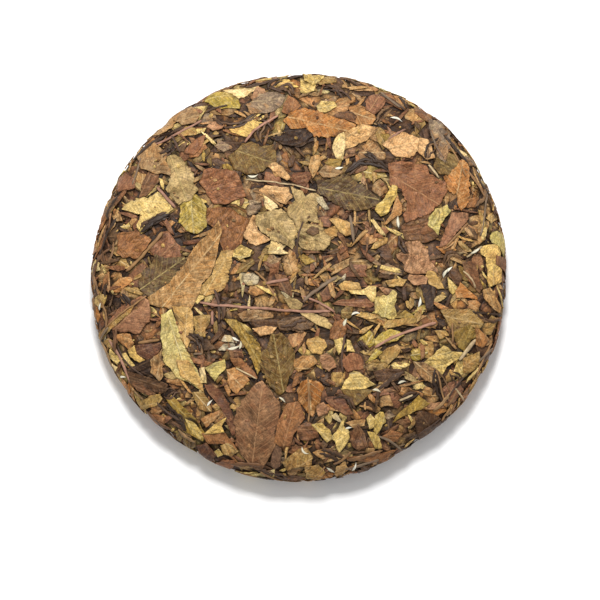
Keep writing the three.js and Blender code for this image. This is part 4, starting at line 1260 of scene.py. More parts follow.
    ("straw", 80, [17, -30.5, 21.5, -30, 22, -33.5, 19, -36.5]),
    ("straw", 80, [23, -31, 24.5, -31.5, 26, -35.5, 23, -35.5]),
    ("red_brown", 60, [21, -39.5, 26, -37, 29.5, -39.5, 30, -44, 23, -45.5, 21, -43]),
    ("khaki", -5, [33.5, -41.5, 37, -40, 42, -42.5, 39.5, -45, 33.5, -45]),
    ("umber", 0, [36, -46, 42, -44.5, 48, -45, 46.5, -49.5, 42, -51, 37, -50]),
    ("olive", -10, [21, -54, 30.5, -54, 34.5, -55.5, 31, -58.5, 27, -61.5, 24, -60.5]),
    ("straw", 0, [20.5, -54, 21, -52.5, 26, -45.5, 30, -47, 35.5, -52, 31, -54]),
    # bottom
    ("maroon", -55, [
        -44.5, -52.5, -40, -53.5, -36.5, -56.5, -34, -60.5, -30.5, -68.5, -30.5, -75, -32, -75.5, -37, -63.5,
        -43, -56.5,
    ]),
    ("khaki", -50, [-50, -56.5, -45.5, -56, -43, -60.5, -42, -64.5, -45, -65, -47.5, -63.5], "oval"),
    ("olive_yellow", -50, [
        -62, -60, -60, -58, -56.5, -61.5, -52.5, -66, -48.5, -70, -45.5, -75, -46.5, -78.5, -49, -77.5, -53.5,
        -74.5, -58.5, -66,
    ], "whole"),
    ("yellow", -55, [-54, -69, -50, -71, -46, -75.5, -46.5, -78.5, -51, -75.5], "strap"),
    ("cinnamon", 30, [-46, -68.5, -42.5, -66.5, -38, -64.5, -38.5, -67.5, -44, -72.5]),
    ("russet", -20, [-45, -76, -39.5, -75.5, -35, -76, -30, -82.5, -36.5, -80.5, -43, -80.5]),
    ("gold", 30, [-44.5, -75.5, -40, -71.5, -35, -68.5, -37, -72, -36, -74.5], "strap"),
    ("ochre", -20, [-37, -81.5, -33.5, -80.5, -29.5, -83.5, -32.5, -86, -35.5, -85]),
    ("yellow", 0, [-40.5, -85.5, -38.5, -83.5, -36.5, -85.5, -38.5, -86.5]),
    ("maroon", 0, [-48, -82.5, -44.5, -81, -40, -86, -42.5, -88.5, -48.5, -88]),
    ("red_brown", 20, [-39.5, -91, -36, -88.5, -31, -88, -30.5, -90, -33.5, -93]),
    ("straw", -8, [-30.5, -93, -21, -94, -20, -94.5, -21, -96, -30, -94.5], "strap"),
    ("slate", 70, [-12, -82.5, -9, -81, -8.5, -85.5, -9, -89.5, -11.5, -91, -13, -88]),
    ("brown", 82, [
        -24, -56, -20.5, -52, -17.5, -50.5, -14.5, -54, -11.5, -58, -9.5, -61, -9, -65, -10, -70, -11.5, -75,
        -11.5, -80.5, -15.5, -88.5, -18, -92, -20.5, -91.5, -25.5, -86, -28, -82.5, -29.5, -80, -29.5, -75,
        -30, -70, -29.5, -64, -27, -61,
    ], "whole"),
    ("russet", 75, [
        -9, -69.5, -7, -63.5, -5.5, -61.5, 0, -60.5, 2, -68, 0, -71.5, -2.5, -75, -4, -80, -8.5, -80, -11,
        -78.5,
    ], "half"),
    ("orange", -85, [
        1, -51, 4, -50, 8, -50.5, 11.5, -53.5, 10, -56.5, 9, -61, 6.5, -66, 5, -65.5, 2, -62, 0, -59, -0.5,
        -55,
    ], "whole"),
    ("brown", 0, [0, -72.5, 3.5, -70, 8, -72, 8, -76.5, 3.5, -78, 0, -77.5]),
    ("rose_tan", 30, [8.5, -62, 11.5, -60.5, 14, -63, 13, -65.5, 9.5, -66.5]),
    ("maroon", -35, [13, -59, 17, -57.5, 21, -58.5, 25, -65.5, 21.5, -65.5, 14.5, -61.5]),
    ("yellow", -45, [7, -71.5, 11, -70.5, 14.5, -74, 15.5, -77, 13, -78.5]),
    ("straw", 80, [16, -76.5, 19, -72.5, 20.5, -68.5, 21.5, -68.5, 21, -72, 23, -73.5, 23.5, -78, 19, -83]),
    ("tan", 5, [23, -70, 26.5, -69, 31, -69, 30.5, -71.5, 26, -72]),
    ("brown", -70, [24.5, -75, 28, -72.5, 31, -75.5, 32, -81, 28, -82.5, 25, -80]),
    ("straw", 80, [32.5, -68.5, 34, -67, 36, -69, 35.5, -72, 33.5, -72.5]),
    ("yellow", 70, [36.5, -67.5, 38.5, -65.5, 40, -66, 41.5, -69.5, 37, -75.5, 35.5, -74]),
    ("yellow", -50, [33, -75, 36, -75.5, 38.5, -78.5, 39, -82, 36, -82]),
    ("russet", 0, [40, -77, 44.5, -75, 49, -76.5, 47, -80, 43, -80]),
    ("russet", 5, [20.5, -86.5, 37, -85, 43, -85, 42, -88.5, 33.5, -89]),
    ("khaki", 30, [-7, -88.5, -3.5, -85.5, 0, -83, 3, -82.5, 6, -86.5, 5.5, -89.5, -5, -92]),
    ("khaki", -10, [3, -91, 9, -90.5, 12, -93.5, 9.5, -96.5, 3.5, -96]),
    ("olive_yellow", 40, [
        46, -70, 48, -66.5, 51, -63.5, 54, -60.5, 56.5, -57.5, 60, -60.5, 61.5, -61, 57.5, -64, 50, -67.5,
    ], "strap"),
    ("rose_brown", 70, [68, -59, 73, -60, 77, -54, 76, -50, 71, -51, 68, -54]),
]

TUCKED = 0.7  # mm, how far the margin of a leaf runs on under its neighbours
# Small scraps lie in the gaps, and among them slivers that split off along the veins.
SMALL_SCRAPS = 420
SMALL_LENGTHS = (5, 13)  # mm
SMALL_WIDTHS = (0.22, 0.6)  # as shares of the length
SMALL_TONES = (
    "tan ochre cinnamon russet red_brown rose_brown brown khaki fawn straw olive russet maroon brown "
    "chocolate grey_tan olive_yellow sage tan umber cinnamon khaki"
).split()
SLIVERS = 560
SLIVER_LENGTHS, SLIVER_WIDTHS = (4, 14), (1.0, 2.6)  # mm
SLIVER_TONES = (
    "umber chocolate black_brown brown cinnamon rose_brown maroon russet tan ochre straw tan fawn "
    "khaki olive"
).split()
SCRAP_FIELD, SLIVER_FIELD = 106, 112  # mm, from the middle out over the rim
ALONG_RIM_FROM = 92  # mm, where the press pushed the slivers to lie along the rim
DARK_GROWN, LIGHT_GROWN = 1.1, 1.3  # how far scraps run on under their neighbours

draw = np.random.default_rng(5)
shown = {kind: [] for kind in KINDS}
large = {kind: [] for kind in KINDS}
dark, light = ([(tone, *row) for tone in rows for row in rows[tone]] for rows in (DARK_SHOWN, SHOWN))
light.sort(key=lambda scrap: -scrap[3] * scrap[4])
for tone, x, y, length, width, turn in dark + light:
    x, y = from_above(x, y)
    form = "strap" if width < 0.4 * length else draw.choice(["torn", "torn", "half"])
    turn, grown = turn + draw.normal(0, 5), DARK_GROWN if tone in DARK_SHOWN else LIGHT_GROWN
    leaf = lay_leaf(CROWN_SIDE, x, y, length * grown + 1, width * grown + 1, turn, tone, draw, form)
    shown[KIND_OF[tone]].append(leaf)
for tone in draw.choice(SMALL_TONES, SMALL_SCRAPS):
    x, y = polar(SCRAP_FIELD * np.sqrt(draw.random()), draw.uniform(0, 2 * np.pi))
    length = draw.uniform(*SMALL_LENGTHS)
    width, turn = length * draw.uniform(*SMALL_WIDTHS), draw.uniform(0, 360)
    shown[KIND_OF[tone]].append(lay_leaf(CROWN_SIDE, x, y, length, width, turn, tone, draw))
for tone in draw.choice(SLIVER_TONES, SLIVERS):
    reach, angle = SLIVER_FIELD * np.sqrt(draw.random()), draw.uniform(0, 2 * np.pi)
    length, width = draw.uniform(*SLIVER_LENGTHS), draw.uniform(*SLIVER_WIDTHS)
    turn = draw.uniform(0, 360)
    if reach > ALONG_RIM_FROM:
        turn = np.degrees(angle) + 90 + draw.normal(0, 20)
    x, y = polar(reach, angle)
    leaf = lay_leaf(CROWN_SIDE, x, y, length, width, turn, tone, draw, "strap", (16, 2))
    shown[KIND_OF[tone]].append(leaf)
for tone, turn, run, *other_form in OUTLINED:
    corners = np.array([from_above(*corner) for corner in np.reshape(run, (-1, 2))])
    middle, form = corners.mean(0), (other_form or ["torn"])[0]
    cos, sin = polar(1, np.radians(turn))
    own = (corners - middle) @ [[cos, -sin], [sin, cos]]
    own = own * (1 + TUCKED / np.hypot(*own.T).mean())
    leaf = lay_leaf(CROWN_SIDE, *middle, *np.ptp(own, axis=0), turn, tone, draw, form, corners=own)
    large[KIND_OF[tone]].append(leaf)
bind_kinds(shown, "scraps")
bind_kinds(large, "leaves")

# ---------------------------------------------------------------------------------------------
# Underside leaves
# The same mix of larger leaves, pressed level by the plate of the press, covers the underside
# and dips into its hollow.
UNDER_LEAVES = 100
UNDER_LENGTHS = (14, 32)  # mm
UNDER_WIDTHS = (0.4, 0.65)  # as shares of the length
UNDER_GRID = (40, 6)
draw = np.random.default_rng(8)
under_tones = (
    "tan ochre cinnamon russet red_brown rose_brown brown khaki straw fawn umber chocolate olive "
    "yellow rose_tan orange tan brown pale_green olive_yellow"
).split()
under = {kind: [] for kind in KINDS}
step = draw.permutation(UNDER_LEAVES) + 0.5
reach = (WHOLE_REACH - RIM_REACH) * np.sqrt(step / UNDER_LEAVES)
angle = step * np.pi * (3 - np.sqrt(5))
for x, y in zip(*polar(reach, angle)):
    length = draw.uniform(*UNDER_LENGTHS)
    width = length * draw.uniform(*UNDER_WIDTHS)
    tone, form = draw.choice(under_tones), draw.choice(["torn", "half", "whole", "torn", "oval"])
    x, y, turn = x + draw.normal(0, 2), y + draw.normal(0, 2), draw.uniform(0, 360)
    leaf = lay_leaf(UNDER_SIDE, x, y, length, width, turn, tone, draw, form, UNDER_GRID)
    under[KIND_OF[tone]].append(leaf)
bind_kinds(under, "under_leaves")

# ---------------------------------------------------------------------------------------------
# Rolled strips and stalks
# Dark leaves that rolled up tight as they dried, and the thin stalks that the leaves grew on.
# They lie on the heap or half sunk in it, pressed a little flat.
TUBE_SIDES = 10
# How high a tube's axis lies over the heap, and how flat it is, as shares of its radius.
TUBE_LIFT, TUBE_FLATNESS = 0.62, 0.78
BLUNT = 0.25  # mm, how wide the very ends are
KINK_LENGTH = 18  # mm: what is longer strays no further
# x and y of both ends, bow sideways, width, and how deep it is pressed in, all in mm.
ROLLED = [
    (-42, 78, -20, 80, -4, 2.6, 0.3), (-11, 92, -4, 90, 2, 3, 0.4), (-15, 92, -8, 97, 1, 2.2, 0.3),
    (22, 50, 43, 51, 4, 2.6, 0.3), (-75, 22, -62, 30, 1, 4, 0.5), (-27, -11, -36, -20, -3, 2.8, 0.3),
    (70, 5, 78, 9, 3, 2.4, 0.3), (12, 93, 21, 88, 2, 2.4, 0.3), (-18, 66, -15, 77, 3, 2, 0.3),
    (51, -46, 37, -62, -3, 2.4, 0.2), (83, -17, 96, -19, -2, 2.6, 0.3), (-65, -61, -54, -75, 2, 2.2, 0.3),
    (-64, -58, -58, -55, 1, 2, 0.3), (-20, -92, -5, -97, 1, 2.4, 0.3), (10, -82, 22, -88, 1, 3, 0.4),
    (64, -45, 69, -60, 1, 2, 0.2), (28, -31, 33, -36, 0, 2.6, 0.3), (17, -58, 26, -64, 2, 2.2, 0.3),
    (48, -60, 56, -56, 1, 1.8, 0.2), (-91, 28, -86, 40, 2, 3, 0.4), (-60, 66, -67, 60, 1, 2.6, 0.4),
    (72, -46, 74, -54, 2, 2, 0.2), (84, 34, 89, 44, -1, 2.8, 0.4), (-8, -24, 4, -21, 2, 3, 0.4),
    (-84, -8, -80, -14, 1, 2.6, 0.3), (66, 66, 60, 56, -1, 2.2, 0.3), (36, 74, 43, 82, 1, 2.4, 0.4),
    (52, 12, 47, 20, 1, 2.6, 0.4), (-52, -28, -46, -36, 2, 2.8, 0.4), (30, 60, 36, 55, 1, 2.4, 0.4),
]
# The same for stalks, with a tone name first.
STALKS = [
    ("pink", -26, 66, -10, 79, 1, 1.6, 0.1), ("pink", -69, 65, -47, 77, -1, 1.8, 0.2),
    ("dark", -61, 69, -57, 61, 0, 1.6, 0.2), ("dark", -18, 77, -13, 72, 1, 1.6, 0.1),
    ("dark", 15, 91, 25, 86, 2, 1.4, 0.1), ("pink", 42, 66, 50, 71, 0, 1.4, 0.1),
    ("grey", 62, 70, 68, 57, -1, 1.4, 0.1), ("pale", 78, 66, 88, 52, 1, 1.6, 0.2),
    ("pink", -68, 44, -59, 34, 0, 2.0, 0.1), ("tan", -65, 22, -82, 3, 1, 2.2, 0.1),
    ("pale", -26, 48, 8, 42, 1, 1.1, 0.1), ("grey", 24, 30, 26, 17, 0, 2.0, 0.1),
    ("pale", 61, 54, 66, 48, 0, 1.4, 0.1), ("tan", 80, 26, 70, 15, 0, 1.4, 0.1),
    ("grey", 89, 40, 86, 20, 0, 1.4, 0.1), ("pale", 80, 10, 87, 15, 0, 1.4, 0.1),
    ("tan", -76, -31.5, -66, -30, 0, 2.0, 0.1), ("tan", -94, -29, -72, -9, 1, 1.2, 0.0),
    ("pink", -47, -12, 15, -16.5, -1.5, 1.8, 0.0), ("pink", 1, -9, 17, -17, 1, 1.5, 0.1),
    ("tan", -21, 3, -10, -12, 1, 1.5, 0.1), ("pink", -16, -3, -5, -1, 0, 2.0, 0.1),
    ("dark", -40, -6, -38, -22, 1, 1.9, 0.1), ("pink", -41, -16, -41, -23, 0, 1.9, 0.1),
    ("grey", -50, -37, -46, -37, 0, 1.5, 0.0), ("grey", 2, -12, 18, 0, 1, 2.4, 0.1),
    ("pink", 36, -34, 65, -22, 1, 1.9, 0.1), ("dark", 22, -28, 21, -46, -1, 1.5, 0.1),
    ("pale", 78, 3, 84, -5, 1, 1.2, 0.1), ("pale", 76, -40, 84, -30, 0, 2.3, 0.1),
    ("tan", 73, -22, 73, -32, 0, 1.3, 0.0), ("grey", -94, -32, -90, -24, 0, 1.8, 0.1),
    ("pale", -30, -44, -20, -49, 0, 1.2, 0.1), ("pale", 73.5, -53, 78, -59, 0, 1.3, 0.1),
    ("grey", 38, -77, 50, -84, 1, 1.5, 0.1), ("tan", 4, -48, 4.5, -70, 0.5, 1.3, 0.0),
    ("pale", 48, -60, 54, -57, 0, 1.3, 0.1), ("dark", -1, 9, 2, 27, 1, 1.2, 0.0),
    ("tan", -22, 42, -8, 34, 1, 1.4, 0.1), ("tan", 65, -45, 69, -60, 0, 1.2, 0.0),
    ("pink", -50, 86, -36, 94, -1, 1.7, 0.2), ("dark", 38, 88, 50, 80, 1, 1.6, 0.2),
    ("tan", -30, -97, -12, -98, 0, 1.8, 0.3), ("grey", 22, -92, 38, -88, 0, 1.8, 0.3),
    ("pink", -90, -30, -80, -50, 1, 1.7, 0.2), ("tan", 92, -32, 84, -48, -1, 1.8, 0.2),
]
STALK_TONES = {"pink": "A07660", "dark": "4C392C", "grey": "7A6650", "tan": "8E6A42", "pale": "BCA47C"}
STRAND_COLOURS = ["4C3523", "3A2819", "5E432C", "332419", "7A5B3C"]
LOOSE_COLOURS = ["4C3523", "3A2819", "6E4C30", "86623E", "9A7850"]
STRAND_WIDTHS = (0.3, 0.6)  # of each strand of a rolled strip, as shares of the strip's
STRANDS_APART = 0.33  # from one strand to the next, as a share of the strip's width
STRAND_STRAY = 0.6  # mm, how far a strand's ends stray
STRAND_TWISTS = (3, 8)  # radians from end to end
STALK_SHARE = 0.72  # a stalk's own width, of what shows with its dark edges
STEM_PRESS = 0.1  # mm, how deep stalks and buds are pressed in at least
STATION_MM = 1.6  # along a stalk
RIM_TUBES, UNDER_TUBES = 70, 40
RIM_TUBE_REACH, UNDER_TUBE_FIELD = (90, 112), 100  # mm, from the middle of their side
LOOSE_LENGTHS = (7, 20)  # mm
LOOSE_STRIP_WIDTHS, LOOSE_STALK_WIDTHS = (1.0, 1.9), (0.7, 1.1)  # mm


def ends_about(x, y, length, turn):
    """Both ends of what is so long and has its middle there."""
    step_x, step_y = polar(length / 2, turn)
    return (x - step_x, y - step_y), (x + step_x, y + step_y)


def lay_tube(side, ends, bow, width, press, colour, draw, stations, twist=0.0, spindle=0.0, kinked=0.004):
    """Lays a stalk, a rolled strip or a bud: a flattened ring carried along a bowed, slightly
    kinked path. Its radius falls off towards both ends by a root, or along a spindle by a sine."""
    (x0, y0), (x1, y1) = ends
    along = np.linspace(0, 1, stations)
    length = np.hypot(x1 - x0, y1 - y0)
    off_x, off_y = (y0 - y1) / length, (x1 - x0) / length
    kinks = np.cumsum(draw.normal(0, kinked * min(length, KINK_LENGTH), stations)) * (1 - spindle)
    sway = bow * 4 * along * (1 - along) + kinks
    sway -= np.linspace(sway[0], sway[-1], stations)
    path_x = x0 + (x1 - x0) * along + off_x * sway
    path_y = y0 + (y1 - y0) * along + off_y * sway
    end_gap = np.minimum(along, 1 - along) * length
    tapered = (end_gap + BLUNT) / (width * (2.5 if twist else 0.5))
    radius = width / 2 * np.clip(tapered, 0.12, 1) ** 0.5
    radius = radius * (1 + (0.18 if twist else 0.08) * draw.normal(size=stations))
    if spindle:
        radius = width / 2 * np.maximum(np.sin(np.pi * along**0.8), 0.12)
    half = length / 2 + abs(bow) + width + 2
    middle_x, middle_y = (x0 + x1) / 2, (y0 + y1) / 2
    cells, corner, _, _ = window(middle_x, middle_y, half)
    drape = softened(widened(heap[side][cells], 1), 8)
    # It lies on what is under it, evened out over five stations.
    base = read(drape, path_x, path_y, corner) - press
    base = np.convolve(np.pad(base, 2, "edge"), np.full(5, 0.2), "valid")
    across = np.gradient(path_x), np.gradient(path_y)
    speed = np.hypot(*across)
    side_x, side_y = -across[1] / speed, across[0] / speed
    turn = np.arange(TUBE_SIDES) * 2 * np.pi / TUBE_SIDES
    angle = turn[None, :] + (along * twist)[:, None]
    # A rolled strip has two ridges that wind round it, a stalk five that run straight.
    ridge = 1 + 0.28 * np.cos(2 * angle) if twist else 1 + 0.1 * np.cos(5 * turn)[None, :]
    out = radius[:, None] * np.cos(angle) * ridge
    rise = radius[:, None] * np.sin(angle) * ridge * TUBE_FLATNESS
    axis = base + TUBE_LIFT * radius
    x = np.append(path_x[:, None] + side_x[:, None] * out, path_x[[0, -1]])
    y = np.append(path_y[:, None] + side_y[:, None] * out, path_y[[0, -1]])
    height = np.append(base[:, None] + TUBE_LIFT * radius[:, None] + rise, axis[[0, -1]])

    def height_at(own_x, own_y):
        gap = np.hypot(own_x[..., None] - path_x, own_y[..., None] - path_y)
        nearest = gap.argmin(-1)
        gap = np.take_along_axis(gap, nearest[..., None], -1)[..., 0]
        bulge = np.sqrt(np.clip(1 - (gap / radius[nearest]) ** 2, 0, 1))
        top = base[nearest] + radius[nearest] * (TUBE_LIFT + TUBE_FLATNESS * bulge)
        return gap < radius[nearest] * 0.9, top

    mark = raise_heap(side, middle_x, middle_y, half, height_at)
    shade = linear(colour) * draw.normal(1, 0.07)
    along_it = np.append(np.repeat(along, TUBE_SIDES) * length, [0, length])
    round_it = np.append(np.tile(turn, stations) / (2 * np.pi), [0, 0])
    return {
        "side": np.full(len(x), side), "x": x, "y": y, "height": height, "stations": stations,
        "mark": np.full(len(x), mark), "below": np.zeros(len(x)),
        "tone": np.tile(np.append(np.clip(shade, 0, 1), 0.4), (len(x), 1)),
        "spread": np.stack([along_it, round_it * width, 0 * along_it], -1), "length": length,
        "width": width,
    }


def bind_tubes(name, tubes, material):
    """Joins laid tubes into one piece: quads between stations, fans at both ends. In the OFBake
    map each is a strip, as long as the tube and as tall as it is round, with its ends beside it."""
    GAP = 0.6
    girth = [tube["width"] * np.pi for tube in tubes]
    sizes = np.array([
        (tube["length"] + 2 * around + GAP, around + GAP) for tube, around in zip(tubes, girth)
    ])
    cells, sheet = pack_cells(sizes)
    fans, walls, fan_map, wall_map = [], [], [], []
    start = 0
    for tube, cell, around in zip(tubes, cells, girth):
        stations, count = tube["stations"], tube["stations"] * TUBE_SIDES
        first = np.arange(stations - 1)[:, None] * TUBE_SIDES + np.arange(TUBE_SIDES)
        after = np.roll(first, -1, 1)
        quads = np.stack([first, first + TUBE_SIDES, after + TUBE_SIDES, after], -1).reshape(-1, 4)
        ring, last = np.arange(TUBE_SIDES), count - TUBE_SIDES + np.arange(TUBE_SIDES)
        caps = np.concatenate([
            np.stack([np.full(TUBE_SIDES, count), ring, np.roll(ring, -1)], -1),
            np.stack([np.roll(last, -1), last, np.full(TUBE_SIDES, count + 1)], -1),
        ])
        along = (quads // TUBE_SIDES) / (stations - 1) * tube["length"]
        turn = quads % TUBE_SIDES
        turn = np.where((turn == 0) & (turn.max(1, keepdims=True) == TUBE_SIDES - 1), TUBE_SIDES, turn)
        quad_uv = np.stack([along + around, turn / TUBE_SIDES * around], -1)
        angle = (caps % TUBE_SIDES) * 2 * np.pi / TUBE_SIDES
        is_rim = caps < count
        middle = np.repeat([around * 0.45, around * 1.55 + tube["length"]], TUBE_SIDES)
        cap_uv = np.stack([
            middle[:, None] + is_rim * np.cos(angle) * around * 0.3,
            0.5 * around + is_rim * np.sin(angle) * around * 0.3,
        ], -1)
        if tube["side"][0] == UNDER_SIDE:
            quads, caps = quads[:, ::-1], caps[:, ::-1]
            quad_uv, cap_uv = quad_uv[:, ::-1], cap_uv[:, ::-1]
        walls.append(quads + start)
        fans.append(caps + start)
        wall_map.append((quad_uv + cell + GAP / 2).reshape(-1, 2))
        fan_map.append((cap_uv + cell + GAP / 2).reshape(-1, 2))
        start += count + 2
    faces = [np.concatenate(walls), np.concatenate(fans)]
    sharp = np.zeros(len(faces[0]) + len(faces[1]), bool)
    uv = np.concatenate(wall_map + fan_map) / sheet
    bind(name, tubes, faces, sharp, material, ("tone", "spread"), uv)


def stalk_finish(name, stain, rib_mm, roughness, specular, downy=0.0):
    """A ribbed plant stem or a bud: its tone streaked along its length in ribs, with stains, down as
    sheen where it has any, and painted shade with dust where it lies sunk in the heap."""
    material, output = fresh_material(name)
    tree = material.node_tree
    place = node(tree, "TexCoord").outputs["Object"]
    tone = node(tree, "Attribute", attribute_name="tone").outputs["Color"]
    crevice_shade_and_dust = node(tree, "Attribute", attribute_name="crevice_shade_and_dust").outputs["Fac"]
    spread = node(tree, "Attribute", attribute_name="spread").outputs["Vector"]
    stretched = node(tree, "Mapping", {"Vector": spread, "Scale": (0.12, 1.0, 1.0)}).outputs["Vector"]
    ribs = node(tree, "TexNoise", {"Vector": stretched, "Scale": 1 / rib_mm, "Detail": 2.0})
    stains = node(tree, "TexNoise", {"Vector": place, "Scale": 1 / (3 * MM), "Detail": 3.0})
    mask = node(tree, "MapRange", {
        "Value": stains.outputs["Fac"], "From Min": 0.5, "From Max": 0.75, "To Max": 0.6,
    }).outputs["Result"]
    stained = node(tree, "Mix", {"Factor": mask, "A": tone, "B": (*linear(stain), 1)}, data_type="RGBA")
    light = node(tree, "MapRange", {
        "Value": ribs.outputs["Fac"], "From Min": 0.3, "From Max": 0.7, "To Min": 0.6, "To Max": 1.25,
    }).outputs["Result"]
    ribbed = node(tree, "Mix", {
        "Factor": 1.0, "A": stained.outputs["Result"],
        "B": node(tree, "CombineXYZ", {0: light, 1: light, 2: light}).outputs["Vector"],
    }, data_type="RGBA", blend_type="MULTIPLY")
    # Painted shade with dust: where it lies sunk below the crest around it, it darkens towards dark brown.
    depth = node(tree, "Math", {0: crevice_shade_and_dust, 1: 0.75}, operation="MULTIPLY").outputs["Value"]
    shaded_and_dusted = node(tree, "Mix", {
        "Factor": depth, "A": ribbed.outputs["Result"], "B": (*linear("2A1D15"), 1),
    }, data_type="RGBA")
    bump = node(tree, "Bump", {"Height": ribs.outputs["Fac"], "Strength": 0.8, "Distance": 0.3 * MM})
    shell = node(tree, "BsdfPrincipled", {
        "Base Color": shaded_and_dusted.outputs["Result"], "Roughness": roughness, "Specular IOR Level": specular,
        "Sheen Weight": downy, "Sheen Roughness": 0.4, "Normal": bump.outputs["Normal"],
    })
    tree.links.new(shell.outputs["BSDF"], output.inputs["Surface"])
    return material


# Rolled leaf is crinkled and dark with a low wax shine; a stalk is dry, woody and matt.
rolled_finish = stalk_finish("rolled_dark_leaf", "2C1C10", 0.4, 0.52, 0.28)
woody_finish = stalk_finish("dry_tea_stalk", "7A5544", 0.45, 0.68, 0.3)

draw = np.random.default_rng(17)
rolled = []
for x0, y0, x1, y1, bow, width, press in ROLLED:
    start, end = np.array(from_above(x0, y0)), np.array(from_above(x1, y1))
    length = np.hypot(end[0] - start[0], end[1] - start[1])
    # A leaf rolls up into a few strands that lie side by side and part at its ends.
    for strand in (-1, 1, 0):
        off = STRANDS_APART * width * strand * np.array([start[1] - end[1], end[0] - start[0]]) / length
        near, far = draw.normal(0, STRAND_STRAY, 2), draw.normal(0, STRAND_STRAY, 2)
        colour = draw.choice(STRAND_COLOURS)
        thick = width * draw.uniform(*STRAND_WIDTHS)
        rolled.append(lay_tube(
            CROWN_SIDE, (start + off + near, end + off + far), bow + draw.normal(0, 1.0), thick, press,
            colour, draw, 18, twist=draw.uniform(*STRAND_TWISTS), kinked=0.022,
        ))
stalks = []
for tone, x0, y0, x1, y1, bow, width, press in STALKS:
    ends = from_above(x0, y0), from_above(x1, y1)
    stations = int(np.clip(np.hypot(x1 - x0, y1 - y0) / STATION_MM, 8, 36))
    stalks.append(lay_tube(
        CROWN_SIDE, ends, bow, STALK_SHARE * width, press + STEM_PRESS, STALK_TONES[tone], draw,
        stations, kinked=0.008,
    ))
# More of both lie round the rim and on the underside, where only their run is known.
for index in range(RIM_TUBES + UNDER_TUBES):
    on_rim = index < RIM_TUBES
    side = CROWN_SIDE if on_rim else UNDER_SIDE
    angle = draw.uniform(0, 2 * np.pi)
    if on_rim:
        x, y = polar(draw.uniform(*RIM_TUBE_REACH), angle)
        run = angle + np.pi / 2 + draw.normal(0, 0.35)
    else:
        x, y = polar(UNDER_TUBE_FIELD * np.sqrt(draw.random()), angle)
        run = draw.uniform(0, np.pi)
    ends = ends_about(x, y, draw.uniform(*LOOSE_LENGTHS), run)
    if index % 3:
        colour, bow = draw.choice(LOOSE_COLOURS), draw.normal(0, 1)
        width = draw.uniform(*LOOSE_STRIP_WIDTHS)
        rolled.append(lay_tube(side, ends, bow, width, 0.2, colour, draw, 12, twist=5, kinked=0.01))
    else:
        colour = STALK_TONES[draw.choice(["dark", "tan", "grey", "tan"])]
        bow, width = draw.normal(0, 0.8), draw.uniform(*LOOSE_STALK_WIDTHS)
        stalks.append(lay_tube(side, ends, bow, width, STEM_PRESS, colour, draw, 10))
bind_tubes("rolled_strips", rolled, rolled_finish)
bind_tubes("stalks", stalks, woody_finish)

# ---------------------------------------------------------------------------------------------
# Buds
# Unopened tips of the shoots: slim spindles of folded young leaf, covered with white down. They
# lie scattered over the cake, pressed lightly into its face and its underside.

# x, y, length and width in mm, and turn in degrees, as seen from above.
BUDS = [
    (47, 27, 6, 2, 95), (71, 3.5, 5, 1.8, 40), (-31, -34, 6, 2, 15), (-28, -33, 4, 1.6, 80),
    (22, -22, 4, 2, 70), (27, -18, 4.5, 1.6, 10), (70, 2, 5, 1.8, 60), (-83.5, -48, 4, 1.4, 0),
    (-42.5, -61, 4, 1.4, 50), (-8, -59, 4, 1.3, -40), (23.5, -72.5, 3.5, 1.3, 10),
    (49, -51, 4, 1.6, 20), (37, -55.5, 4, 1.6, -15), (15, -93, 5, 1.5, -35), (26, -91, 5, 1.4, 70),
    (3, -83, 4.5, 1.3, -45), (19, 53, 4, 1.6, 10), (57, -12, 5, 1.8, 80), (-22, 50, 5, 1.6, 5),
    (46, 76, 6, 1.6, -20), (-94, -14, 4, 1.4, 70), (-44, 92, 4.5, 1.4, 20), (90, 55, 4, 1.4, -60),
    (-30, -30, 4, 1.6, -30), (84, 13, 6, 1.6, 35),
]
BUD_SHARE = 0.75  # how much of a bud's width is its body, inside the down
UNDER_BUDS, UNDER_BUD_FIELD = 26, 98  # how many lie on the underside, and how far out in mm
UNDER_BUD_LENGTH, UNDER_BUD_WIDTH = 4.4, 1.6
# Bud scales under short white down: pale, matt, with a soft sheen at the edges.
down = stalk_finish("silver_down", "B9AC88", 0.4, 0.75, 0.25, downy=0.5)
draw = np.random.default_rng(23)
buds = []
for x, y, length, width, turn in BUDS:
    ends = ends_about(*from_above(x, y), length, np.radians(turn))
    colour, bow = draw.choice(["DCD4BA", "D2C9AC", "E4DECA"]), draw.normal(0, 0.5)
    width = BUD_SHARE * width
    buds.append(lay_tube(CROWN_SIDE, ends, bow, width, STEM_PRESS, colour, draw, 10, spindle=1.0))
for _ in range(UNDER_BUDS):
    angle, reach = draw.uniform(0, 2 * np.pi), UNDER_BUD_FIELD * np.sqrt(draw.random())
    ends = ends_about(*polar(reach, angle), UNDER_BUD_LENGTH, draw.uniform(0, np.pi))
    buds.append(lay_tube(
        UNDER_SIDE, ends, 0.2, UNDER_BUD_WIDTH, STEM_PRESS, "DED8C0", draw, 10, spindle=1.0,
    ))
bind_tubes("silver_buds", buds, down)

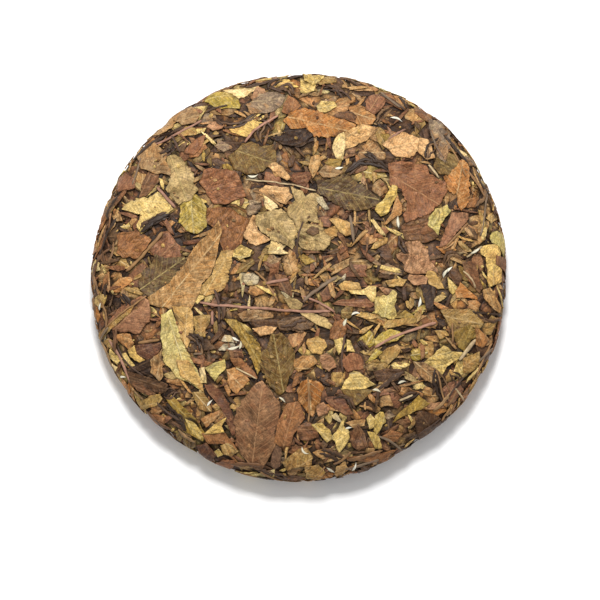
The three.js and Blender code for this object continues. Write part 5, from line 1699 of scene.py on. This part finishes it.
# ---------------------------------------------------------------------------------------------
# Loose crumbs
# Bits of leaf a millimetre or two across, broken off as the tea was pressed. They lie in the low
# places between the leaves, which hold them.
CRUMB_TRIES = 4000
CRUMB_FIELD = 106  # mm, from the middle of a side
CRUMB_LENGTHS = (1.1, 3.0)  # mm
CRUMB_WIDTHS = (0.4, 0.8)  # as shares of the length
CRUMB_SIDES = 6
LOW_REACH, LOW_BY = 3.0, 0.25  # mm: a low place is that much under the heap smoothed so far
CRUMB_TOP, CRUMB_DEPTH = 0.5, 0.4  # mm: its top over the heap, and how thick it is
draw = np.random.default_rng(29)
even_heap = np.stack([smoothed(field, LOW_REACH) for field in heap])
crumb_tones = "tan ochre russet brown cinnamon chocolate umber khaki fawn rose_brown straw umber".split()
crumbs = []
for index in range(CRUMB_TRIES):
    side = index % 2
    angle, reach = draw.uniform(0, 2 * np.pi), CRUMB_FIELD * np.sqrt(draw.random())
    (x, y), turn = polar(reach, angle), draw.uniform(0, np.pi)
    length, tone, tint = draw.uniform(*CRUMB_LENGTHS), draw.choice(crumb_tones), draw.normal(1, 0.1)
    width, ragged = length * draw.uniform(*CRUMB_WIDTHS), draw.uniform(0.75, 1.1, CRUMB_SIDES)
    tilt = draw.normal(0, 0.12, 2)
    here, about = (
        read(maps[side], np.array([x]), np.array([y]))[0] for maps in (heap, even_heap)
    )
    if here > about - LOW_BY:
        continue
    round_it = np.arange(CRUMB_SIDES) * 2 * np.pi / CRUMB_SIDES
    u = np.append(0, np.cos(round_it) * ragged) * length / 2
    v = np.append(0, np.sin(round_it) * ragged) * width / 2
    shade = np.clip(linear(TONES[tone]) * tint, 0, 1)
    count = 2 + CRUMB_SIDES * (1 + len(UNDER_RINGS))
    lower = np.arange(count) > CRUMB_SIDES
    upper = np.stack([u, v], -1)
    spread = np.concatenate([upper, [[0, 0]], *[upper[1:] * share for share in UNDER_RINGS]])
    own_x = x + spread[:, 0] * np.cos(turn) - spread[:, 1] * np.sin(turn)
    own_y = y + spread[:, 0] * np.sin(turn) + spread[:, 1] * np.cos(turn)
    crumbs.append({
        "side": np.full(count, side), "x": own_x, "y": own_y, "mark": np.full(count, np.inf),
        "height": here + CRUMB_TOP + spread @ tilt, "below": lower * CRUMB_DEPTH,
        "grid": (CRUMB_SIDES, 1),
        "tone": np.tile(np.append(shade, 0), (count, 1)), "size": (length * 1.1, width * 1.1),
        "spread": np.column_stack([spread, np.ones(count)]), "crumple": np.full(count, 0.5),
    })
bind_leaves("loose_crumbs", crumbs, LEAF_FINISHES["tan_leaf"])

# ---------------------------------------------------------------------------------------------
# The press
# The whole heap is pressed in its mould: what lies high or low over a few millimetres is brought
# level with the cake's skin, and steps are held to about a millimetre, less on the flat
# underside, which ends up level on the table.
LEVEL_REACH = 6.0  # mm
DOME_STEP, UNDER_STEP = 0.95, 0.75  # mm
STEP_CHANGE = 20  # mm, how far past the rim the one step has turned into the other
FREE_SHARE = 0.12  # of a height that the press leaves as it is
CREST_CELLS = 3
SHADE_AND_DUST_FROM, SHADE_AND_DUST_FULL = 0.45, 1.1  # mm under the crest about it, where the painted shade and dust start and are full
TABLE_GAP = 0.02  # mm


def pressed(over, side, x, y):
    """A height over the level, held by a hyperbolic tangent with a little of it left free."""
    reach = np.where(side == UNDER_SIDE, WHOLE_REACH - np.hypot(x, y), np.hypot(x, y))
    step = np.interp(reach, [RIM_REACH, RIM_REACH + STEP_CHANGE], [DOME_STEP, UNDER_STEP])
    return (1 - FREE_SHARE) * step * np.tanh(over / step) + FREE_SHARE * np.clip(over, -2, 2)


span = np.arange(-MAP_HALF, MAP_HALF + 1) * CELL
map_x, map_y = np.meshgrid(span, span)
level = np.stack([smoothed(field, LEVEL_REACH) for field in heap])
crest = np.stack([
    softened(widened(pressed(heap[side] - level[side], side, map_x, map_y), CREST_CELLS), 4)
    for side in (CROWN_SIDE, UNDER_SIDE)
])
for piece, side, x, y, height, mark, below in laid:
    own_level, own_crest, own_top = (read_own(maps, side, x, y) for maps in (level, crest, heap))
    i = np.clip(np.round(x / CELL).astype(int) + MAP_HALF, 0, 2 * MAP_HALF)
    j = np.clip(np.round(y / CELL).astype(int) + MAP_HALF, 0, 2 * MAP_HALF)
    covered = cover[side, j, i] > mark
    height = np.where(covered, np.minimum(height, own_top - 1.2 * LEAF_THICKNESS), height)
    lift = pressed(height - own_level, side, x, y) - below
    points = on_skin(side, x, y, lift)
    points[:, 2] = np.maximum(points[:, 2], TABLE_GAP)
    piece.data.vertices.foreach_set("co", (points * MM).astype(np.float32).ravel())
    # Points that lie sunk below the crest about them get painted crevice shade, with dust, in their colour.
    if "crevice_shade_and_dust" in piece.data.attributes:
        sunk = (own_crest - lift - below - SHADE_AND_DUST_FROM) / (SHADE_AND_DUST_FULL - SHADE_AND_DUST_FROM)
        sunk = np.clip(sunk, 0, 1)
        piece.data.attributes["crevice_shade_and_dust"].data.foreach_set("value", sunk.astype(np.float32))
    piece.data.update()

bpy.context.view_layer.update()
